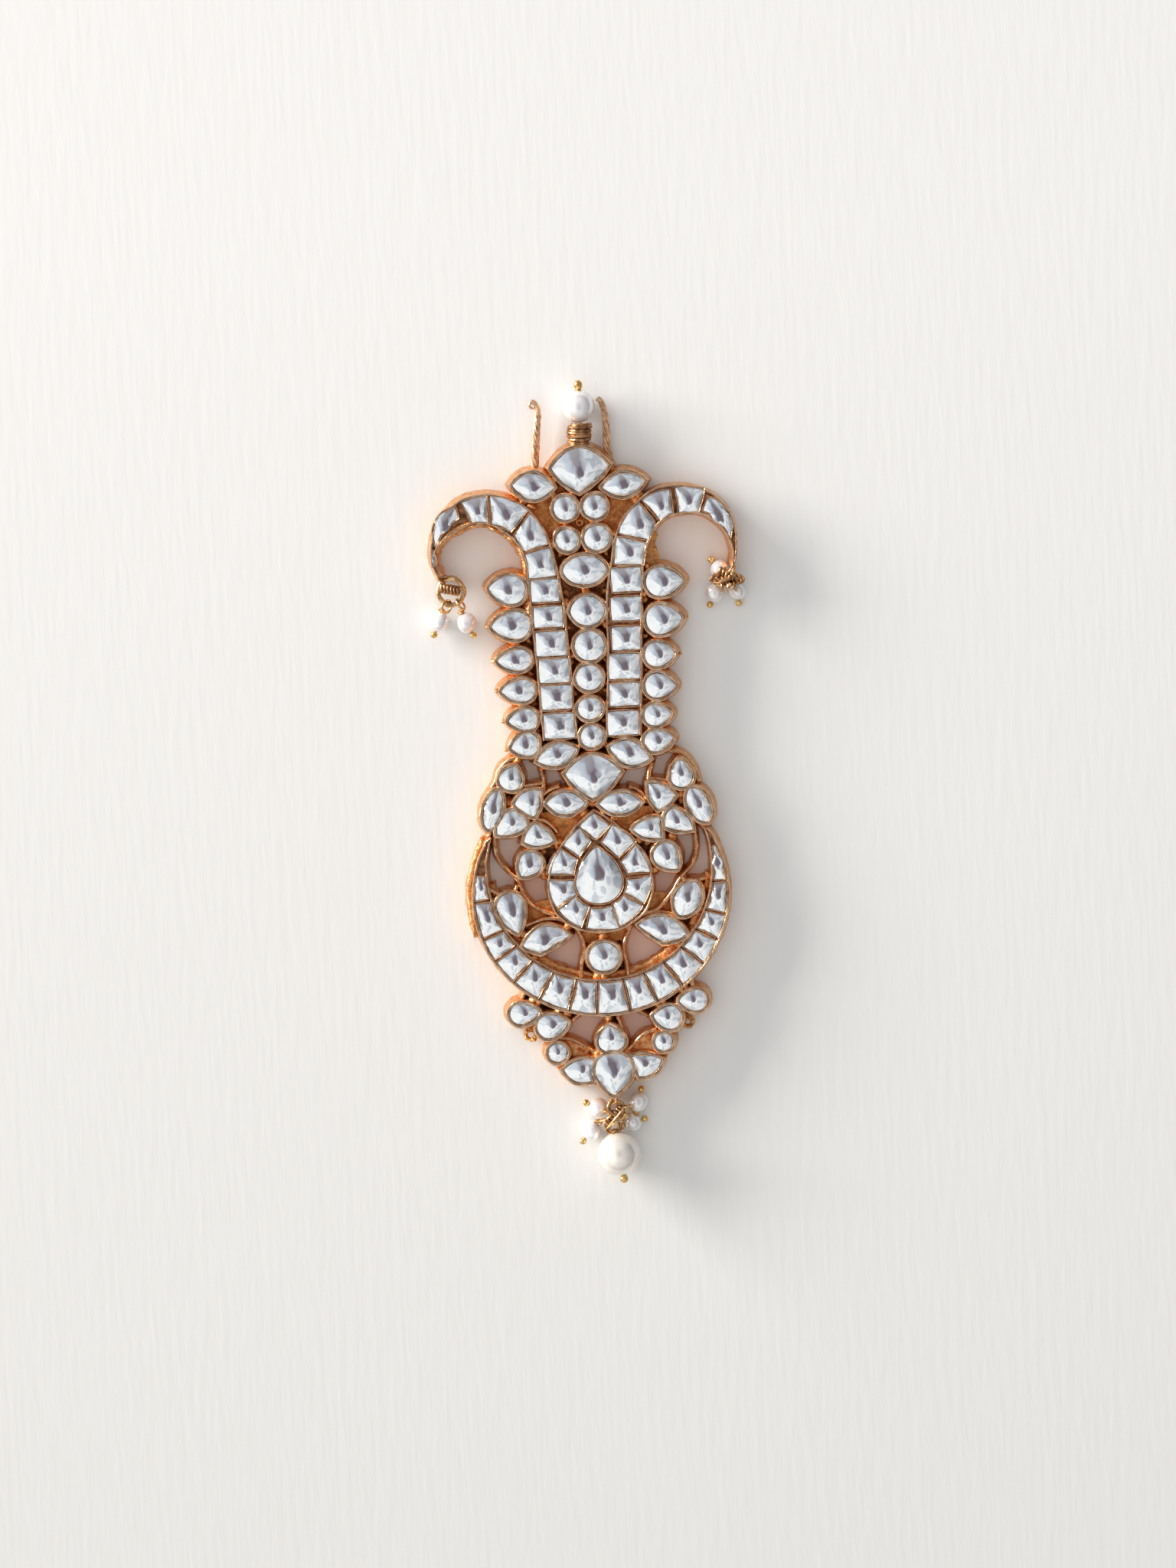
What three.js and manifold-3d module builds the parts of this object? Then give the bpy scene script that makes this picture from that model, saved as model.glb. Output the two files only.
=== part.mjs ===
// Turban ornament: a gold plume of stone settings lying on its flat back, with pearls hung from it.
// Millimetres. X runs across the ornament, Y along it towards the finial, Z up from its back.
import * as THREE from "three";
import { mergeVertices } from "three/addons/utils/BufferGeometryUtils.js";
import Module from "manifold-3d";

const wasm = await Module();
wasm.setup();

// ---------------------------------------------------------------- driving dimensions
const RIM_HEIGHT = 5; // top of a setting's rim above the back
const RIM_WIDTH = 0.65; // gold left showing round a stone
const DRAFT = 0.5; // how much wider a setting is at its back than at its rim
const PLATE_HEIGHT = 2.8; // recessed gold sheet between the settings
const RIB_HEIGHT = 4.2;
const RIB_WIDTH = 0.55;
const CROWN_HEIGHT = 0.9; // rise of a stone from rim to table
const TABLE_SHARE = 0.55; // size of the table as a share of the stone
const SEAT_FLOOR = 1.0; // gold left under a loose stone
const SEAT_GAP = 0.25; // clearance round and under a loose stone
const FACETS = 10; // sides of a small stone
const MAIN_FACETS = 12; // sides of a main stone
const BORE_RADIUS = 0.45;
const PIN_RADIUS = 0.18;
const BALL_RADIUS = 0.62;
const BALL_GAP = 0.1; // between a pin's ball and its pearl
const PIN_BEND = 0.45; // how far past its pearl a pin turns up to its eye
const WELD = 0.001; // faces this close to one plane are made one when solids are joined
const NECK = {
  x: 1.75, z: 3.1, from: 61.6, to: 66.0, turns: 6, rootRadius: 2.0, topRadius: 2.45,
  narrow: 0.75, // share of its size where it leaves the fan
  fullAfter: 4, // turns until it has its full size
};
const FINIAL = {
  x: 2.1, y: 69.1, radius: 2.85, ballY: 72.85, ballRadius: 0.85,
  pinX: 1.85, pinEndX: 2.2, pinRadius: 0.28, // its pin leans a little from the neck to the ball
  pinRoot: 1.5, // how deep the pin stands in the neck
};
const STONE_CLEARANCE = 3; // a seat is cut this far above the rim

// How sharply each cut closes at its two ends: 0 is round, 1 is a point.
const CUTS = {
  round: { tip: 0, tail: 0 },
  oval: { tip: 0.25, tail: 0.25 },
  marquise: { tip: 0.9, tail: 0.9 },
  drop: { tip: 0.55, tail: 0 },
  pear: { tip: 0.7, tail: 0 },
};

// Main stones, each loose in its seat: the tip of a pear or drop points along its turn, in degrees.
const MAIN_STONES = [
  // name, cut, x, y, length, width, turn
  ["marquise_top_left", "marquise", -6.95, 55.1, 7.7, 4.9, -6],
  ["marquise_top_right", "marquise", 9.45, 54.65, 7.8, 4.4, 6],
  ["round_stone_upper_left", "round", -1.3, 50.85, 4.4, 4.4, 0],
  ["round_stone_upper_right", "round", 4.05, 50.9, 4.4, 4.4, 0],
  ["round_stone_lower_left", "round", -1.3, 45.05, 4.1, 4.1, 0],
  ["round_stone_lower_right", "round", 4.15, 45.15, 4.8, 4.6, 0],
  ["marquise_waist_left", "marquise", -5.2, 6.0, 7.5, 4.2, 15],
  ["marquise_waist_right", "marquise", 8.1, 5.75, 7.7, 4.6, -19],
  ["marquise_crown_left", "marquise", -4.0, -2.9, 7.2, 4.25, -2],
  ["marquise_crown_right", "marquise", 5.85, -3.35, 7.7, 4.1, 0],
  ["centre_pear_stone", "pear", 1.3, -16.3, 10.6, 8.6, 91],
  ["round_stone_base", "round", 1.5, -31.35, 5.7, 5.35, 0],
  ["bottom_pear_stone", "pear", 2.2, -53.0, 7.9, 7.0, 268],
];

// Main stones of three corners: the rise of each side to the next corner is a share of its length.
const FAN_STONES = [
  { name: "fan_stone_top", corners: [[-3.55, 58.2], [1.34, 53.55], [6.95, 58.35]], rise: [0.08, 0.08, 0.33] },
  { name: "fan_stone_lower", corners: [[-3.9, 2.5], [0.95, -2.3], [6.4, 2.5]], rise: [0.08, 0.08, 0.31] },
];

// Small stones in settings of their own, fused to the frame.
const SMALL_STONES = [
  // cut, x, y, length, width, turn
  ["oval", 1.6, 39.45, 8.0, 5.5, 0],
  ["oval", 1.77, 32.0, 6.4, 5.5, 0],
  ["round", 1.79, 25.6, 5.5, 5.5, 0],
  ["round", 1.43, 19.8, 4.9, 4.7, 0],
  ["round", 1.31, 14.2, 4.5, 4.1, 0],
  ["round", 1.38, 9.05, 4.2, 4.1, 0],
  ["drop", -12.6, 36.6, 6.8, 5.3, 173],
  ["drop", -12.3, 30.0, 7.1, 5.2, 180],
  ["drop", -12.0, 23.7, 6.2, 4.1, 180],
  ["drop", -11.6, 18.1, 6.1, 4.3, 180],
  ["drop", -11.0, 12.75, 5.3, 4.0, 183],
  ["drop", -10.9, 8.1, 5.2, 4.3, 191],
  ["drop", 16.0, 36.6, 6.9, 5.4, 0],
  ["drop", 15.6, 29.75, 6.65, 5.5, 1],
  ["drop", 14.5, 23.4, 5.6, 4.6, 0],
  ["drop", 14.3, 17.7, 5.6, 4.6, -4],
  ["drop", 13.6, 12.4, 5.1, 4.0, 0],
  ["drop", 13.5, 7.7, 5.4, 4.0, 8],
  ["drop", -13.7, 2.25, 4.6, 4.1, 67],
  ["oval", -17.3, -3.4, 7.4, 3.4, 72],
  ["drop", -11.25, -13.85, 5.0, 4.2, 231],
  ["drop", 17.25, 1.5, 5.1, 4.1, 93],
  ["oval", 20.2, -4.4, 7.0, 4.0, 115],
  ["drop", 14.0, -13.7, 5.5, 4.6, 307],
  ["pear", -14.8, -22.5, 7.6, 5.0, 283],
  ["oval", 17.3, -21.5, 6.8, 4.8, 60],
  ["drop", -13.5, -41.0, 5.4, 3.9, 2],
  ["drop", -8.5, -43.5, 5.8, 4.4, 10],
  ["drop", 17.3, -40.15, 5.1, 3.9, 180],
  ["drop", 12.5, -43.0, 5.2, 4.3, 172],
  ["drop", 2.0, -46.4, 4.9, 4.9, 96],
  ["round", -7.85, -48.55, 3.5, 3.5, 0],
  ["round", 11.6, -47.55, 3.3, 3.3, 0],
];

// Small stones drawn by their corners. The first ones have a setting of their own: the two flowers, the
// leaves under the halo and the half leaves at the bottom. The others stand in the tracks and the halo.
const LONE_CORNER_STONES = 10;
const CORNER_STONES = [
  // the left flower
  { corners: [[-8.55, -0.3], [-13.35, -2.5], [-9.9, -5.0], [-8.6, -2.8]], rise: [0.2, 0.12, 0.08, 0.0] },
  { corners: [[-16.8, -8.0], [-11.2, -6.6], [-13.9, -3.6]], rise: [0.14, 0.18, 0.2] },
  { corners: [[-6.55, -9.6], [-9.9, -6.3], [-12.0, -9.6]], rise: [0.12, 0.1, 0.16] },
  // the right flower
  { corners: [[11.15, 0.0], [15.95, -2.4], [12.85, -4.9], [11.2, -2.6]], rise: [0.14, 0.1, 0.06, 0.0] },
  { corners: [[18.9, -8.9], [13.8, -8.1], [15.4, -4.7]], rise: [0.1, 0.2, 0.16] },
  { corners: [[7.9, -8.3], [12.9, -6.4], [13.2, -10.1]], rise: [0.14, 0.03, 0.14] },
  // the two leaves under the halo
  { corners: [[-13.2, -28.6], [-10.0, -30.2], [-4.5, -27.0]], rise: [0.05, 0.03, 0.3] },
  { corners: [[8.0, -25.8], [12.4, -29.3], [16.8, -27.9]], rise: [0.04, 0.1, 0.27] },
  // the half leaves beside the bottom stone
  { corners: [[-6.95, -51.7], [-1.4, -50.15], [-1.9, -54.1]], rise: [0.14, 0.02, 0.2] },
  { corners: [[11.05, -50.75], [5.6, -49.9], [6.8, -53.7]], rise: [0.12, 0.02, 0.2] },
  // the bend of the left track
  { corners: [[-9.0, 42.45], [-4.15, 43.65], [-3.65, 38.85], [-8.65, 38.55]], rise: [0.03, 0.03, 0.03, 0] },
  { corners: [[-7.45, 50.05], [-4.85, 45.0], [-9.0, 43.65], [-10.35, 46.05]], rise: [0.1, 0.03, 0.05, 0] },
  { corners: [[-14.55, 53.75], [-8.15, 51.0], [-11.65, 47.4], [-14.55, 48.6]], rise: [0.08, 0.0, -0.04, 0] },
  { corners: [[-19.95, 52.85], [-15.65, 53.75], [-15.75, 49.15], [-18.45, 49.25]], rise: [0.05, 0.0, 0.04, 0] },
  { corners: [[-21.4, 51.9], [-20.85, 50.1], [-25.2, 45.1], [-25.5, 47.1]], rise: [0.03, -0.08, 0, 0.2] },
  // the bend of the right track
  { corners: [[7.85, 45.0], [12.95, 43.5], [12.35, 40.05], [7.1, 40.35]], rise: [0.03, 0.03, 0.03, 0.03] },
  { corners: [[11.9, 50.65], [14.35, 47.25], [13.7, 44.7], [8.3, 46.05]], rise: [0.03, 0.03, 0.03, 0.12] },
  { corners: [[13.25, 51.95], [17.6, 53.15], [18.05, 49.05], [16.05, 47.55]], rise: [0.08, 0.0, 0.03, 0] },
  { corners: [[19.05, 53.55], [24.05, 53.35], [22.7, 48.95], [19.7, 48.6]], rise: [0.05, 0.02, 0.03, 0] },
  { corners: [[24.65, 51.3], [23.75, 49.2], [28.3, 44.1], [28.9, 46.2]], rise: [0.02, -0.08, 0, 0.16] },
  // the halo round the centre stone, clockwise from its top
  { corners: [[0.9, -5.0], [-1.7, -7.2], [1.15, -9.7], [3.7, -7.4]], rise: [0.04, 0.04, 0.04, 0.04] },
  { corners: [[4.45, -7.45], [8.05, -10.3], [4.9, -12.95], [2.4, -10.55]], rise: [0.08, 0.02, 0.03, 0.02] },
  { corners: [[8.5, -11.3], [10.8, -15.95], [6.5, -16.1], [5.65, -14.4]], rise: [0.1, 0.0, -0.02, 0.0] },
  { corners: [[10.8, -17.15], [9.35, -21.6], [5.9, -19.45], [6.35, -17.65]], rise: [0.08, 0.0, -0.05, 0.0] },
  { corners: [[8.75, -22.55], [4.8, -25.7], [3.85, -21.6], [5.4, -20.4]], rise: [0.08, 0.0, -0.05, 0.0] },
  { corners: [[4.3, -26.2], [-1.0, -25.9], [-0.15, -22.3], [3.1, -22.1]], rise: [0.06, 0.0, -0.04, 0.0] },
  { corners: [[-2.55, -25.45], [-6.05, -22.55], [-2.9, -20.15], [-1.0, -21.85]], rise: [0.08, 0.0, -0.05, 0.0] },
  { corners: [[-6.65, -21.6], [-7.85, -17.0], [-3.3, -17.4], [-3.0, -19.45]], rise: [0.08, 0.0, -0.02, 0.0] },
  { corners: [[-7.85, -15.35], [-5.55, -11.4], [-2.55, -13.55], [-3.15, -15.7]], rise: [0.1, 0.0, -0.02, 0.0] },
  { corners: [[-4.6, -10.3], [-1.95, -7.8], [-0.05, -10.3], [-1.85, -12.5]], rise: [0.06, 0.02, 0.0, 0.0] },
];

// The straight run of each side track: a column of nearly square stones.
const TRACK_CELLS = [
  // x, y, width, height
  [-4.4, 11.3, 5.6, 4.4],
  [-4.7, 16.5, 5.6, 4.3],
  [-4.85, 21.4, 5.4, 4.3],
  [-5.2, 26.35, 5.4, 4.4],
  [-5.4, 31.25, 5.2, 3.7],
  [-5.75, 36.05, 5.0, 4.0],
  [7.2, 11.2, 5.6, 4.3],
  [7.7, 16.45, 5.4, 4.1],
  [7.9, 21.5, 5.6, 4.5],
  [8.55, 26.65, 5.2, 4.2],
  [8.8, 32.05, 5.4, 4.2],
  [9.1, 37.3, 5.4, 4.3],
];

// The rails of the two side tracks, which run up beside the column, out over an arch and down to a hook.
const LEFT_TRACK = {
  outer: [[-1.35, 8.8], [-1.85, 25], [-2.5, 35], [-3.9, 43.2], [-5.7, 48.2], [-9, 51.9], [-15, 54.2],
    [-21, 53], [-25.4, 47.9], [-26.25, 42.6], [-25.0, 39.0]],
  inner: [[-7.55, 8.8], [-8.2, 25], [-8.75, 36], [-9.3, 42.75], [-11.7, 46.2], [-16.8, 48.9],
    [-22.2, 47.1], [-25.0, 44.4], [-25.3, 42], [-24.5, 39.6]],
};
const RIGHT_TRACK = {
  outer: [[3.85, 8.8], [4.95, 24], [5.3, 35], [6.35, 40.5], [7.25, 45], [10.4, 50.1], [14.6, 53.5],
    [20.5, 54], [25.5, 52.2], [28.9, 47.8], [29.6, 42.5], [28.9, 38.6]],
  inner: [[10.5, 8.8], [11.2, 21], [12, 35], [12.8, 41.7], [15.5, 47.1], [18.8, 48.6],
    [23.3, 48.45], [26.9, 45.75], [28.6, 41.8], [28.2, 38.8]],
};

// The halo's outer edge is a pear; the crescent lies between an ellipse and a circle.
const HALO = { cut: "pear", x: 1.45, y: -15.6, length: 22.7, width: 19.4, turn: 92 };
const CRESCENT = {
  outer: { x: 1.5, y: -20, rx: 23.5, ry: 22.3 },
  inner: { x: 1.5, y: -15, r: 20.4 },
  hub: { x: 1.5, y: -18.2 }, // where the bars between its stones point
  hornY: -8.4, // how far up its two horns reach
  hornReach: 21.8, // from the hub to a horn's tip
  hornTaper: 0.75, // how far a horn's outer corner is drawn in to its inner one
  bars: [172, 185, 202.2, 213.2, 225.5, 239, 253, 265.5, 280.5, 293.2, 306.3, 319.7, 332.2, 344, 359, 377],
  barHalf: 0.45,
  outerReach: 23, // mean radii at which half a bar is turned into an angle
  innerReach: 18,
};

// Thin standing ribs between the settings, each a few points on its line.
const RIBS = [
  [[-8.2, 3.6], [-7.85, 1.45], [-7.95, -0.6]],
  [[-11.4, 0.55], [-8.0, 0.95]],
  [[12.1, 3.7], [11.4, 1.7], [11.15, -0.4]],
  [[11.3, 0.85], [14.6, 0.3]],
  [[-12.4, 5.9], [-14.3, 5.2], [-15.9, 3.6], [-16.7, 1.4], [-17.4, 0.4]],
  [[14.9, 5.8], [17.2, 5.3], [18.9, 3.8], [19.9, 1.8], [20.4, -0.2]],
  [[-17.3, -8.6], [-16.95, -12.2], [-15.5, -14.4], [-13.4, -16.6], [-12.6, -19.4], [-10.7, -21.6], [-7.0, -23.4]],
  [[19.3, -8.9], [19.3, -12.7], [18.5, -15.1], [16.4, -17.4], [14.4, -20.4], [12, -22.8], [8.8, -24.2]],
  [[-3.3, -25.8], [-2.3, -28], [-2, -30.1], [-2.6, -32.6], [-2.8, -34.9]],
  [[6.7, -25.8], [5.5, -28.5], [5.25, -30.3], [5.5, -32.6], [5.7, -34.9]],
  [[-12.6, -25.0], [-8.8, -23.9], [-5.2, -24.5], [-2.6, -26.6]],
  [[15.4, -24.6], [12, -23.6], [8.4, -24.0], [5.6, -26.4]],
  [[-18.4, -8.4], [-17.9, -6.9]],
  [[21.0, -8.8], [20.2, -7.8]],
  [[-17.2, -18.9], [-19.0, -17.9]],
  [[18.6, -18.3], [20.9, -18.0]],
  [[-13.7, -17.6], [-14.2, -19.2]],
  [[16.2, -17.2], [17.6, -18.9]],
  [[-7.4, -45.9], [-4.7, -46.5], [-0.8, -49.0]],
  [[10.4, -45.2], [7.9, -46.05], [5.2, -48.6]],
  [[-4.9, -42.9], [-3.3, -41.6]],
  [[8.9, -42.6], [7.0, -41.4]],
  [[3.2, -41.8], [4.25, -44.8]],
  [[1.5, -41.8], [1.6, -44.2]],
  [[-13.9, -38.6], [-13.2, -37.0]],
  [[17.5, -38.0], [16.8, -36.0]],
];

// Recessed sheets of gold, each by its corners.
const PLATES = [
  [[-1.6, 8.2], [4.2, 8.2], [5.4, 35], [7.4, 45], [10.6, 50.3], [13.5, 54], [1.4, 57], [-11, 54], [-6, 48.6],
    [-4.2, 43.2], [-2.7, 35]],
  [[-9.4, -4.6], [-0.6, -4.6], [-1.2, -7.4], [-5.2, -11], [-9.6, -11]],
  [[2.2, -4.6], [11.6, -4.2], [12.0, -8.4], [8.6, -10.4], [4.6, -7.8]],
  [[-5.6, -10.4], [-10.4, -10.4], [-9.2, -14.0], [-7.8, -14.4]],
  [[-4.6, -24.6], [7.2, -24.6], [5.6, -28.8], [-2.4, -28.8]],
  [[-13.6, -21.4], [-7.2, -20.4], [-3.8, -25.2], [-12.4, -25.6]],
  [[16.2, -20.4], [10.2, -20.2], [6.6, -25.2], [15.0, -25.4]],
  [[9.2, -10.2], [12.6, -9.8], [11.4, -13.6], [10.2, -13.0]],
  [[-3.9, 8.9], [-3.9, 2.4], [6.6, 2.4], [6.6, 8.9]],
  [[-2.0, -1.4], [3.9, -1.4], [1.4, -6.4]],
  [[12.3, 38.0], [15.6, 39.2], [15.3, 41.4], [14.6, 43.5], [15.2, 45.2], [14.6, 46.2], [12.6, 42.0]],
];

// Twisted wire prongs behind the top fan, each running up to a bent end.
const PRONGS = [
  { radius: 0.55, line: [[-6.6, 55.0], [-6.4, 58.2], [-6.0, 63.0], [-5.6, 66.0], [-5.3, 69.0]], curl: [-6.15, 70.1] },
  { radius: 0.68, line: [[7.6, 54.5], [7.2, 57.6], [6.7, 61.5], [7.1, 66.0], [6.95, 69.0]], curl: [6.0, 70.2] },
];
const PRONG_Z = 2.0;
const PRONG_LOOP = { radius: 0.75, wire: 0.7, below: 0.3 }; // its bent end: wire as a share of the prong's radius

// Links: centre, radii along and across, and the turn of a link that stands on edge.
const LINKS = [
  { name: "link_left", at: [-22.8, 36.6, 2.6], rx: 2.35, ry: 2.45, wire: 0.32, normal: [0, 0, 1] },
  { name: "link_right", at: [27.5, 36.4, 4.3], rx: 2.4, ry: 1.25, wire: 0.28, normal: [0, 0, 1] },
  { name: "ring_bottom", at: [2.45, -59.75, 4.35], rx: 1.6, ry: 1.6, wire: 0.24, normal: [0, 0, 1] },
  { name: "ring_drop", at: [2.05, -61.6, 4.05], rx: 1.3, ry: 1.3, wire: 0.2, normal: [-0.73, 0.68, 0] },
];

// Eyes soldered to the frame, by a stem each: three hold a link and two are empty.
const LUGS = [
  { at: [-24.55, 38.65, 2.6], radius: 1.0, wire: 0.32, normal: [-0.77, -0.64, 0], stem: [-25.1, 41.4, 2.6] },
  { at: [28.4, 37.75, 4.3], radius: 0.95, wire: 0.32, normal: [-0.9, 0.42, 0], stem: [28.9, 40.2, 4.0] },
  { at: [2.4, -58.1, 4.35], radius: 0.9, wire: 0.28, normal: [1, 0, 0], stem: [2.3, -56.0, 4.2] },
  { at: [-12.6, -45.2, 2.0], radius: 0.95, wire: 0.4, normal: [0, 0, 1], stem: [-12.4, -42.4, 2.0] },
  { at: [16.2, -44.3, 2.0], radius: 0.85, wire: 0.4, normal: [0, 0, 1], stem: [16.4, -41.6, 2.0] },
];

// Pearls on bent pins: the bore points at the pin's ball end, and the eye hangs on a link.
const DROPS = [
  { name: "left_1", pearl: [-25.4, 31.2, 1.85], radius: 1.8, towards: [-26.2, 29.2, 1.6], eye: [-23.77, 33.9, 2.6],
    eyeRadius: 1.15, normal: [0.66, -0.24, 0.71] },
  { name: "left_2", pearl: [-20.3, 30.8, 2.0], radius: 1.95, towards: [-19.35, 28.7, 1.8], eye: [-21.2, 34.25, 2.6],
    eyeRadius: 1.1, normal: [0.77, 0.54, 0.34] },
  { name: "right_1", pearl: [25.0, 33.8, 1.7], radius: 1.65, towards: [24.2, 31.9, 1.2], eye: [26.4, 35.08, 4.12],
    eyeRadius: 0.9, normal: [1, 0.1, 0] },
  { name: "right_2", pearl: [29.2, 33.9, 1.65], radius: 1.6, towards: [29.4, 31.9, 1.1], eye: [28.7, 35.12, 4.12],
    eyeRadius: 0.9, normal: [1, 0.25, 0] },
  { name: "right_3", pearl: [26.2, 38.1, 1.75], radius: 1.7, towards: [24.95, 39.6, 1.3], eye: [27.55, 34.95, 4.12],
    eyeRadius: 0.9, normal: [1, 0, 0] },
  { name: "bottom_1", pearl: [-0.75, -59.4, 1.6], radius: 1.55, towards: [-2.6, -58.6, 1.5], eye: [0.65, -59.75, 4.2],
    eyeRadius: 0.8, normal: [0, 1, 0] },
  { name: "bottom_2", pearl: [-2.4, -63.5, 1.65], radius: 1.6, towards: [-3.8, -65.05, 1.5], eye: [0.98, -60.78, 4.2],
    eyeRadius: 0.8, normal: [-0.57, 0.82, 0] },
  { name: "bottom_3", pearl: [6.4, -58.7, 1.7], radius: 1.65, towards: [7.0, -56.6, 1.6], eye: [4.14, -59.13, 4.2],
    eyeRadius: 0.8, normal: [-0.34, 0.94, 0] },
  { name: "bottom_4", pearl: [5.1, -62.5, 1.65], radius: 1.6, towards: [7.0, -62.0, 1.5], eye: [4.08, -60.51, 4.2],
    eyeRadius: 0.8, normal: [0.42, 0.91, 0] },
  { name: "large", pearl: [2.4, -67.75, 4.05], radius: 4.0, towards: [3.1, -72.5, 3.9], eye: [1.6, -62.62, 3.75],
    eyeRadius: 0.95, normal: [0, 0, 1] },
];

// ---------------------------------------------------------------- colours
const GOLD = new THREE.MeshStandardMaterial({ color: 0xc98b52, metalness: 1, roughness: 0.35 });
const PALE_GOLD = new THREE.MeshStandardMaterial({ color: 0xd7a54a, metalness: 1, roughness: 0.25 });
const FOILED_GLASS = new THREE.MeshStandardMaterial({ color: 0xe8eff6, metalness: 0.3, roughness: 0.08 });
const PEARL = new THREE.MeshStandardMaterial({ color: 0xf1ece8, metalness: 0, roughness: 0.3 });

// ---------------------------------------------------------------- outlines
const degrees = THREE.MathUtils.degToRad;
const turned = ([x, y], angle, cx = 0, cy = 0) => [
  cx + x * Math.cos(angle) - y * Math.sin(angle),
  cy + x * Math.sin(angle) + y * Math.cos(angle),
];

// The outline of a round, oval, pear or marquise stone, counter-clockwise from its tip.
function cutOutline({ cut, x, y, length, width, turn }, sides) {
  const { tip, tail } = CUTS[cut];
  const side = (a) => Math.sin(a) * Math.abs(Math.sin(a / 2)) ** tip * Math.abs(Math.cos(a / 2)) ** tail;
  let widest = 0;
  for (let i = 0; i <= 90; i++) widest = Math.max(widest, side((Math.PI * i) / 90));
  return Array.from({ length: sides }, (_, i) => {
    const a = (2 * Math.PI * i) / sides;
    return turned([(Math.cos(a) * length) / 2, (side(a) / widest / 2) * width], degrees(turn), x, y);
  });
}

const signedArea = (points) =>
  points.reduce((sum, [x, y], i) => {
    const [nx, ny] = points[(i + 1) % points.length];
    return sum + x * ny - nx * y;
  }, 0) / 2;
const counterClockwise = (points) => (signedArea(points) < 0 ? [...points].reverse() : points);
const middle = (points) => [0, 1].map((k) => points.reduce((sum, p) => sum + p[k], 0) / points.length);

// The outline through some corners, where each side rises outwards (or sinks, if negative) as an arc.
function cornerOutline({ corners, rise }, perSide) {
  const outwards = signedArea(corners) > 0 ? 1 : -1;
  const points = corners.flatMap(([ax, ay], i) => {
    const [bx, by] = corners[(i + 1) % corners.length];
    return Array.from({ length: perSide }, (_, k) => {
      const t = k / perSide;
      const lift = 4 * rise[i] * t * (1 - t) * outwards;
      return [ax + (bx - ax) * t + (by - ay) * lift, ay + (by - ay) * t - (bx - ax) * lift];
    });
  });
  return counterClockwise(points);
}

// An outline moved outwards everywhere by a distance, with its corners mitred.
function grown(points, distance) {
  const n = points.length;
  return points.map(([x, y], i) => {
    const [px, py] = points[(i + n - 1) % n];
    const [nx, ny] = points[(i + 1) % n];
    const a = new THREE.Vector2(y - py, px - x).normalize();
    const b = new THREE.Vector2(ny - y, x - nx).normalize();
    const mitre = Math.min(1.6, 1 / Math.max(0.3, (1 + a.dot(b)) / 2));
    return [x + ((a.x + b.x) / 2) * mitre * distance, y + ((a.y + b.y) / 2) * mitre * distance];
  });
}

const shrunk = (points, share) => {
  const [cx, cy] = middle(points);
  return points.map(([x, y]) => [cx + (x - cx) * share, cy + (y - cy) * share]);
};

// A smooth line through some points, with a few steps between each two.
function smoothLine(points, steps) {
  const curve = new THREE.CatmullRomCurve3(points.map(([x, y, z = 0]) => new THREE.Vector3(x, y, z)), false);
  return curve.getPoints((points.length - 1) * steps).map(({ x, y }) => [x, y]);
}

// ---------------------------------------------------------------- solids
function toSolid(geometry) {
  const plain = geometry.index ? geometry.toNonIndexed() : geometry.clone();
  plain.deleteAttribute("normal");
  plain.deleteAttribute("uv");
  const merged = mergeVertices(plain, 1e-4);
  const triVerts = new Uint32Array(merged.index.array);
  const vertProperties = merged.attributes.position.array;
  const solid = new wasm.Manifold(new wasm.Mesh({ numProp: 3, vertProperties, triVerts }));
  if (solid.volume() >= 0) return solid;
  return new wasm.Manifold(new wasm.Mesh({ numProp: 3, vertProperties, triVerts: triVerts.reverse() }));
}

function toMesh(name, solid, material) {
  const { vertProperties, triVerts } = solid.getMesh();
  const geometry = new THREE.BufferGeometry();
  geometry.setAttribute("position", new THREE.BufferAttribute(new Float32Array(vertProperties), 3));
  geometry.setIndex(new THREE.BufferAttribute(new Uint32Array(triVerts), 1));
  geometry.computeVertexNormals();
  const mesh = new THREE.Mesh(geometry, material);
  mesh.name = name;
  return mesh;
}

const joined = (solids) => solids.reduce((all, solid) => all.add(solid)).asOriginal().simplify(WELD);

// A closed solid through outlines of equal count, from the lowest to the highest.
function loft(levels) {
  const n = levels[0].points.length;
  const positions = levels.flatMap(({ points, z }) => points.flatMap(([x, y]) => [x, y, z]));
  const cap = THREE.ShapeUtils.triangulateShape(levels[0].points.map(([x, y]) => new THREE.Vector2(x, y)), []);
  const top = (levels.length - 1) * n;
  const index = cap.flatMap(([a, b, c]) => [a, c, b, top + a, top + b, top + c]);
  for (let level = 0; level < levels.length - 1; level++)
    for (let i = 0; i < n; i++) {
      const a = level * n + i;
      const b = level * n + ((i + 1) % n);
      index.push(a, b, b + n, a, b + n, a + n);
    }
  const geometry = new THREE.BufferGeometry();
  geometry.setAttribute("position", new THREE.Float32BufferAttribute(positions, 3));
  geometry.setIndex(index);
  return toSolid(geometry);
}

const setting = (outline, height = RIM_HEIGHT) =>
  loft([
    { points: grown(outline, RIM_WIDTH + DRAFT), z: 0 },
    { points: grown(outline, RIM_WIDTH), z: height },
  ]);
const plate = (corners, height) => {
  const points = counterClockwise(corners);
  return loft([{ points, z: 0 }, { points, z: height }]);
};
const crown = (outline, rim = RIM_HEIGHT, foot = 0.4) =>
  loft([
    { points: outline, z: rim - foot },
    { points: outline, z: rim },
    { points: shrunk(outline, TABLE_SHARE), z: rim + CROWN_HEIGHT },
  ]);

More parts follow.
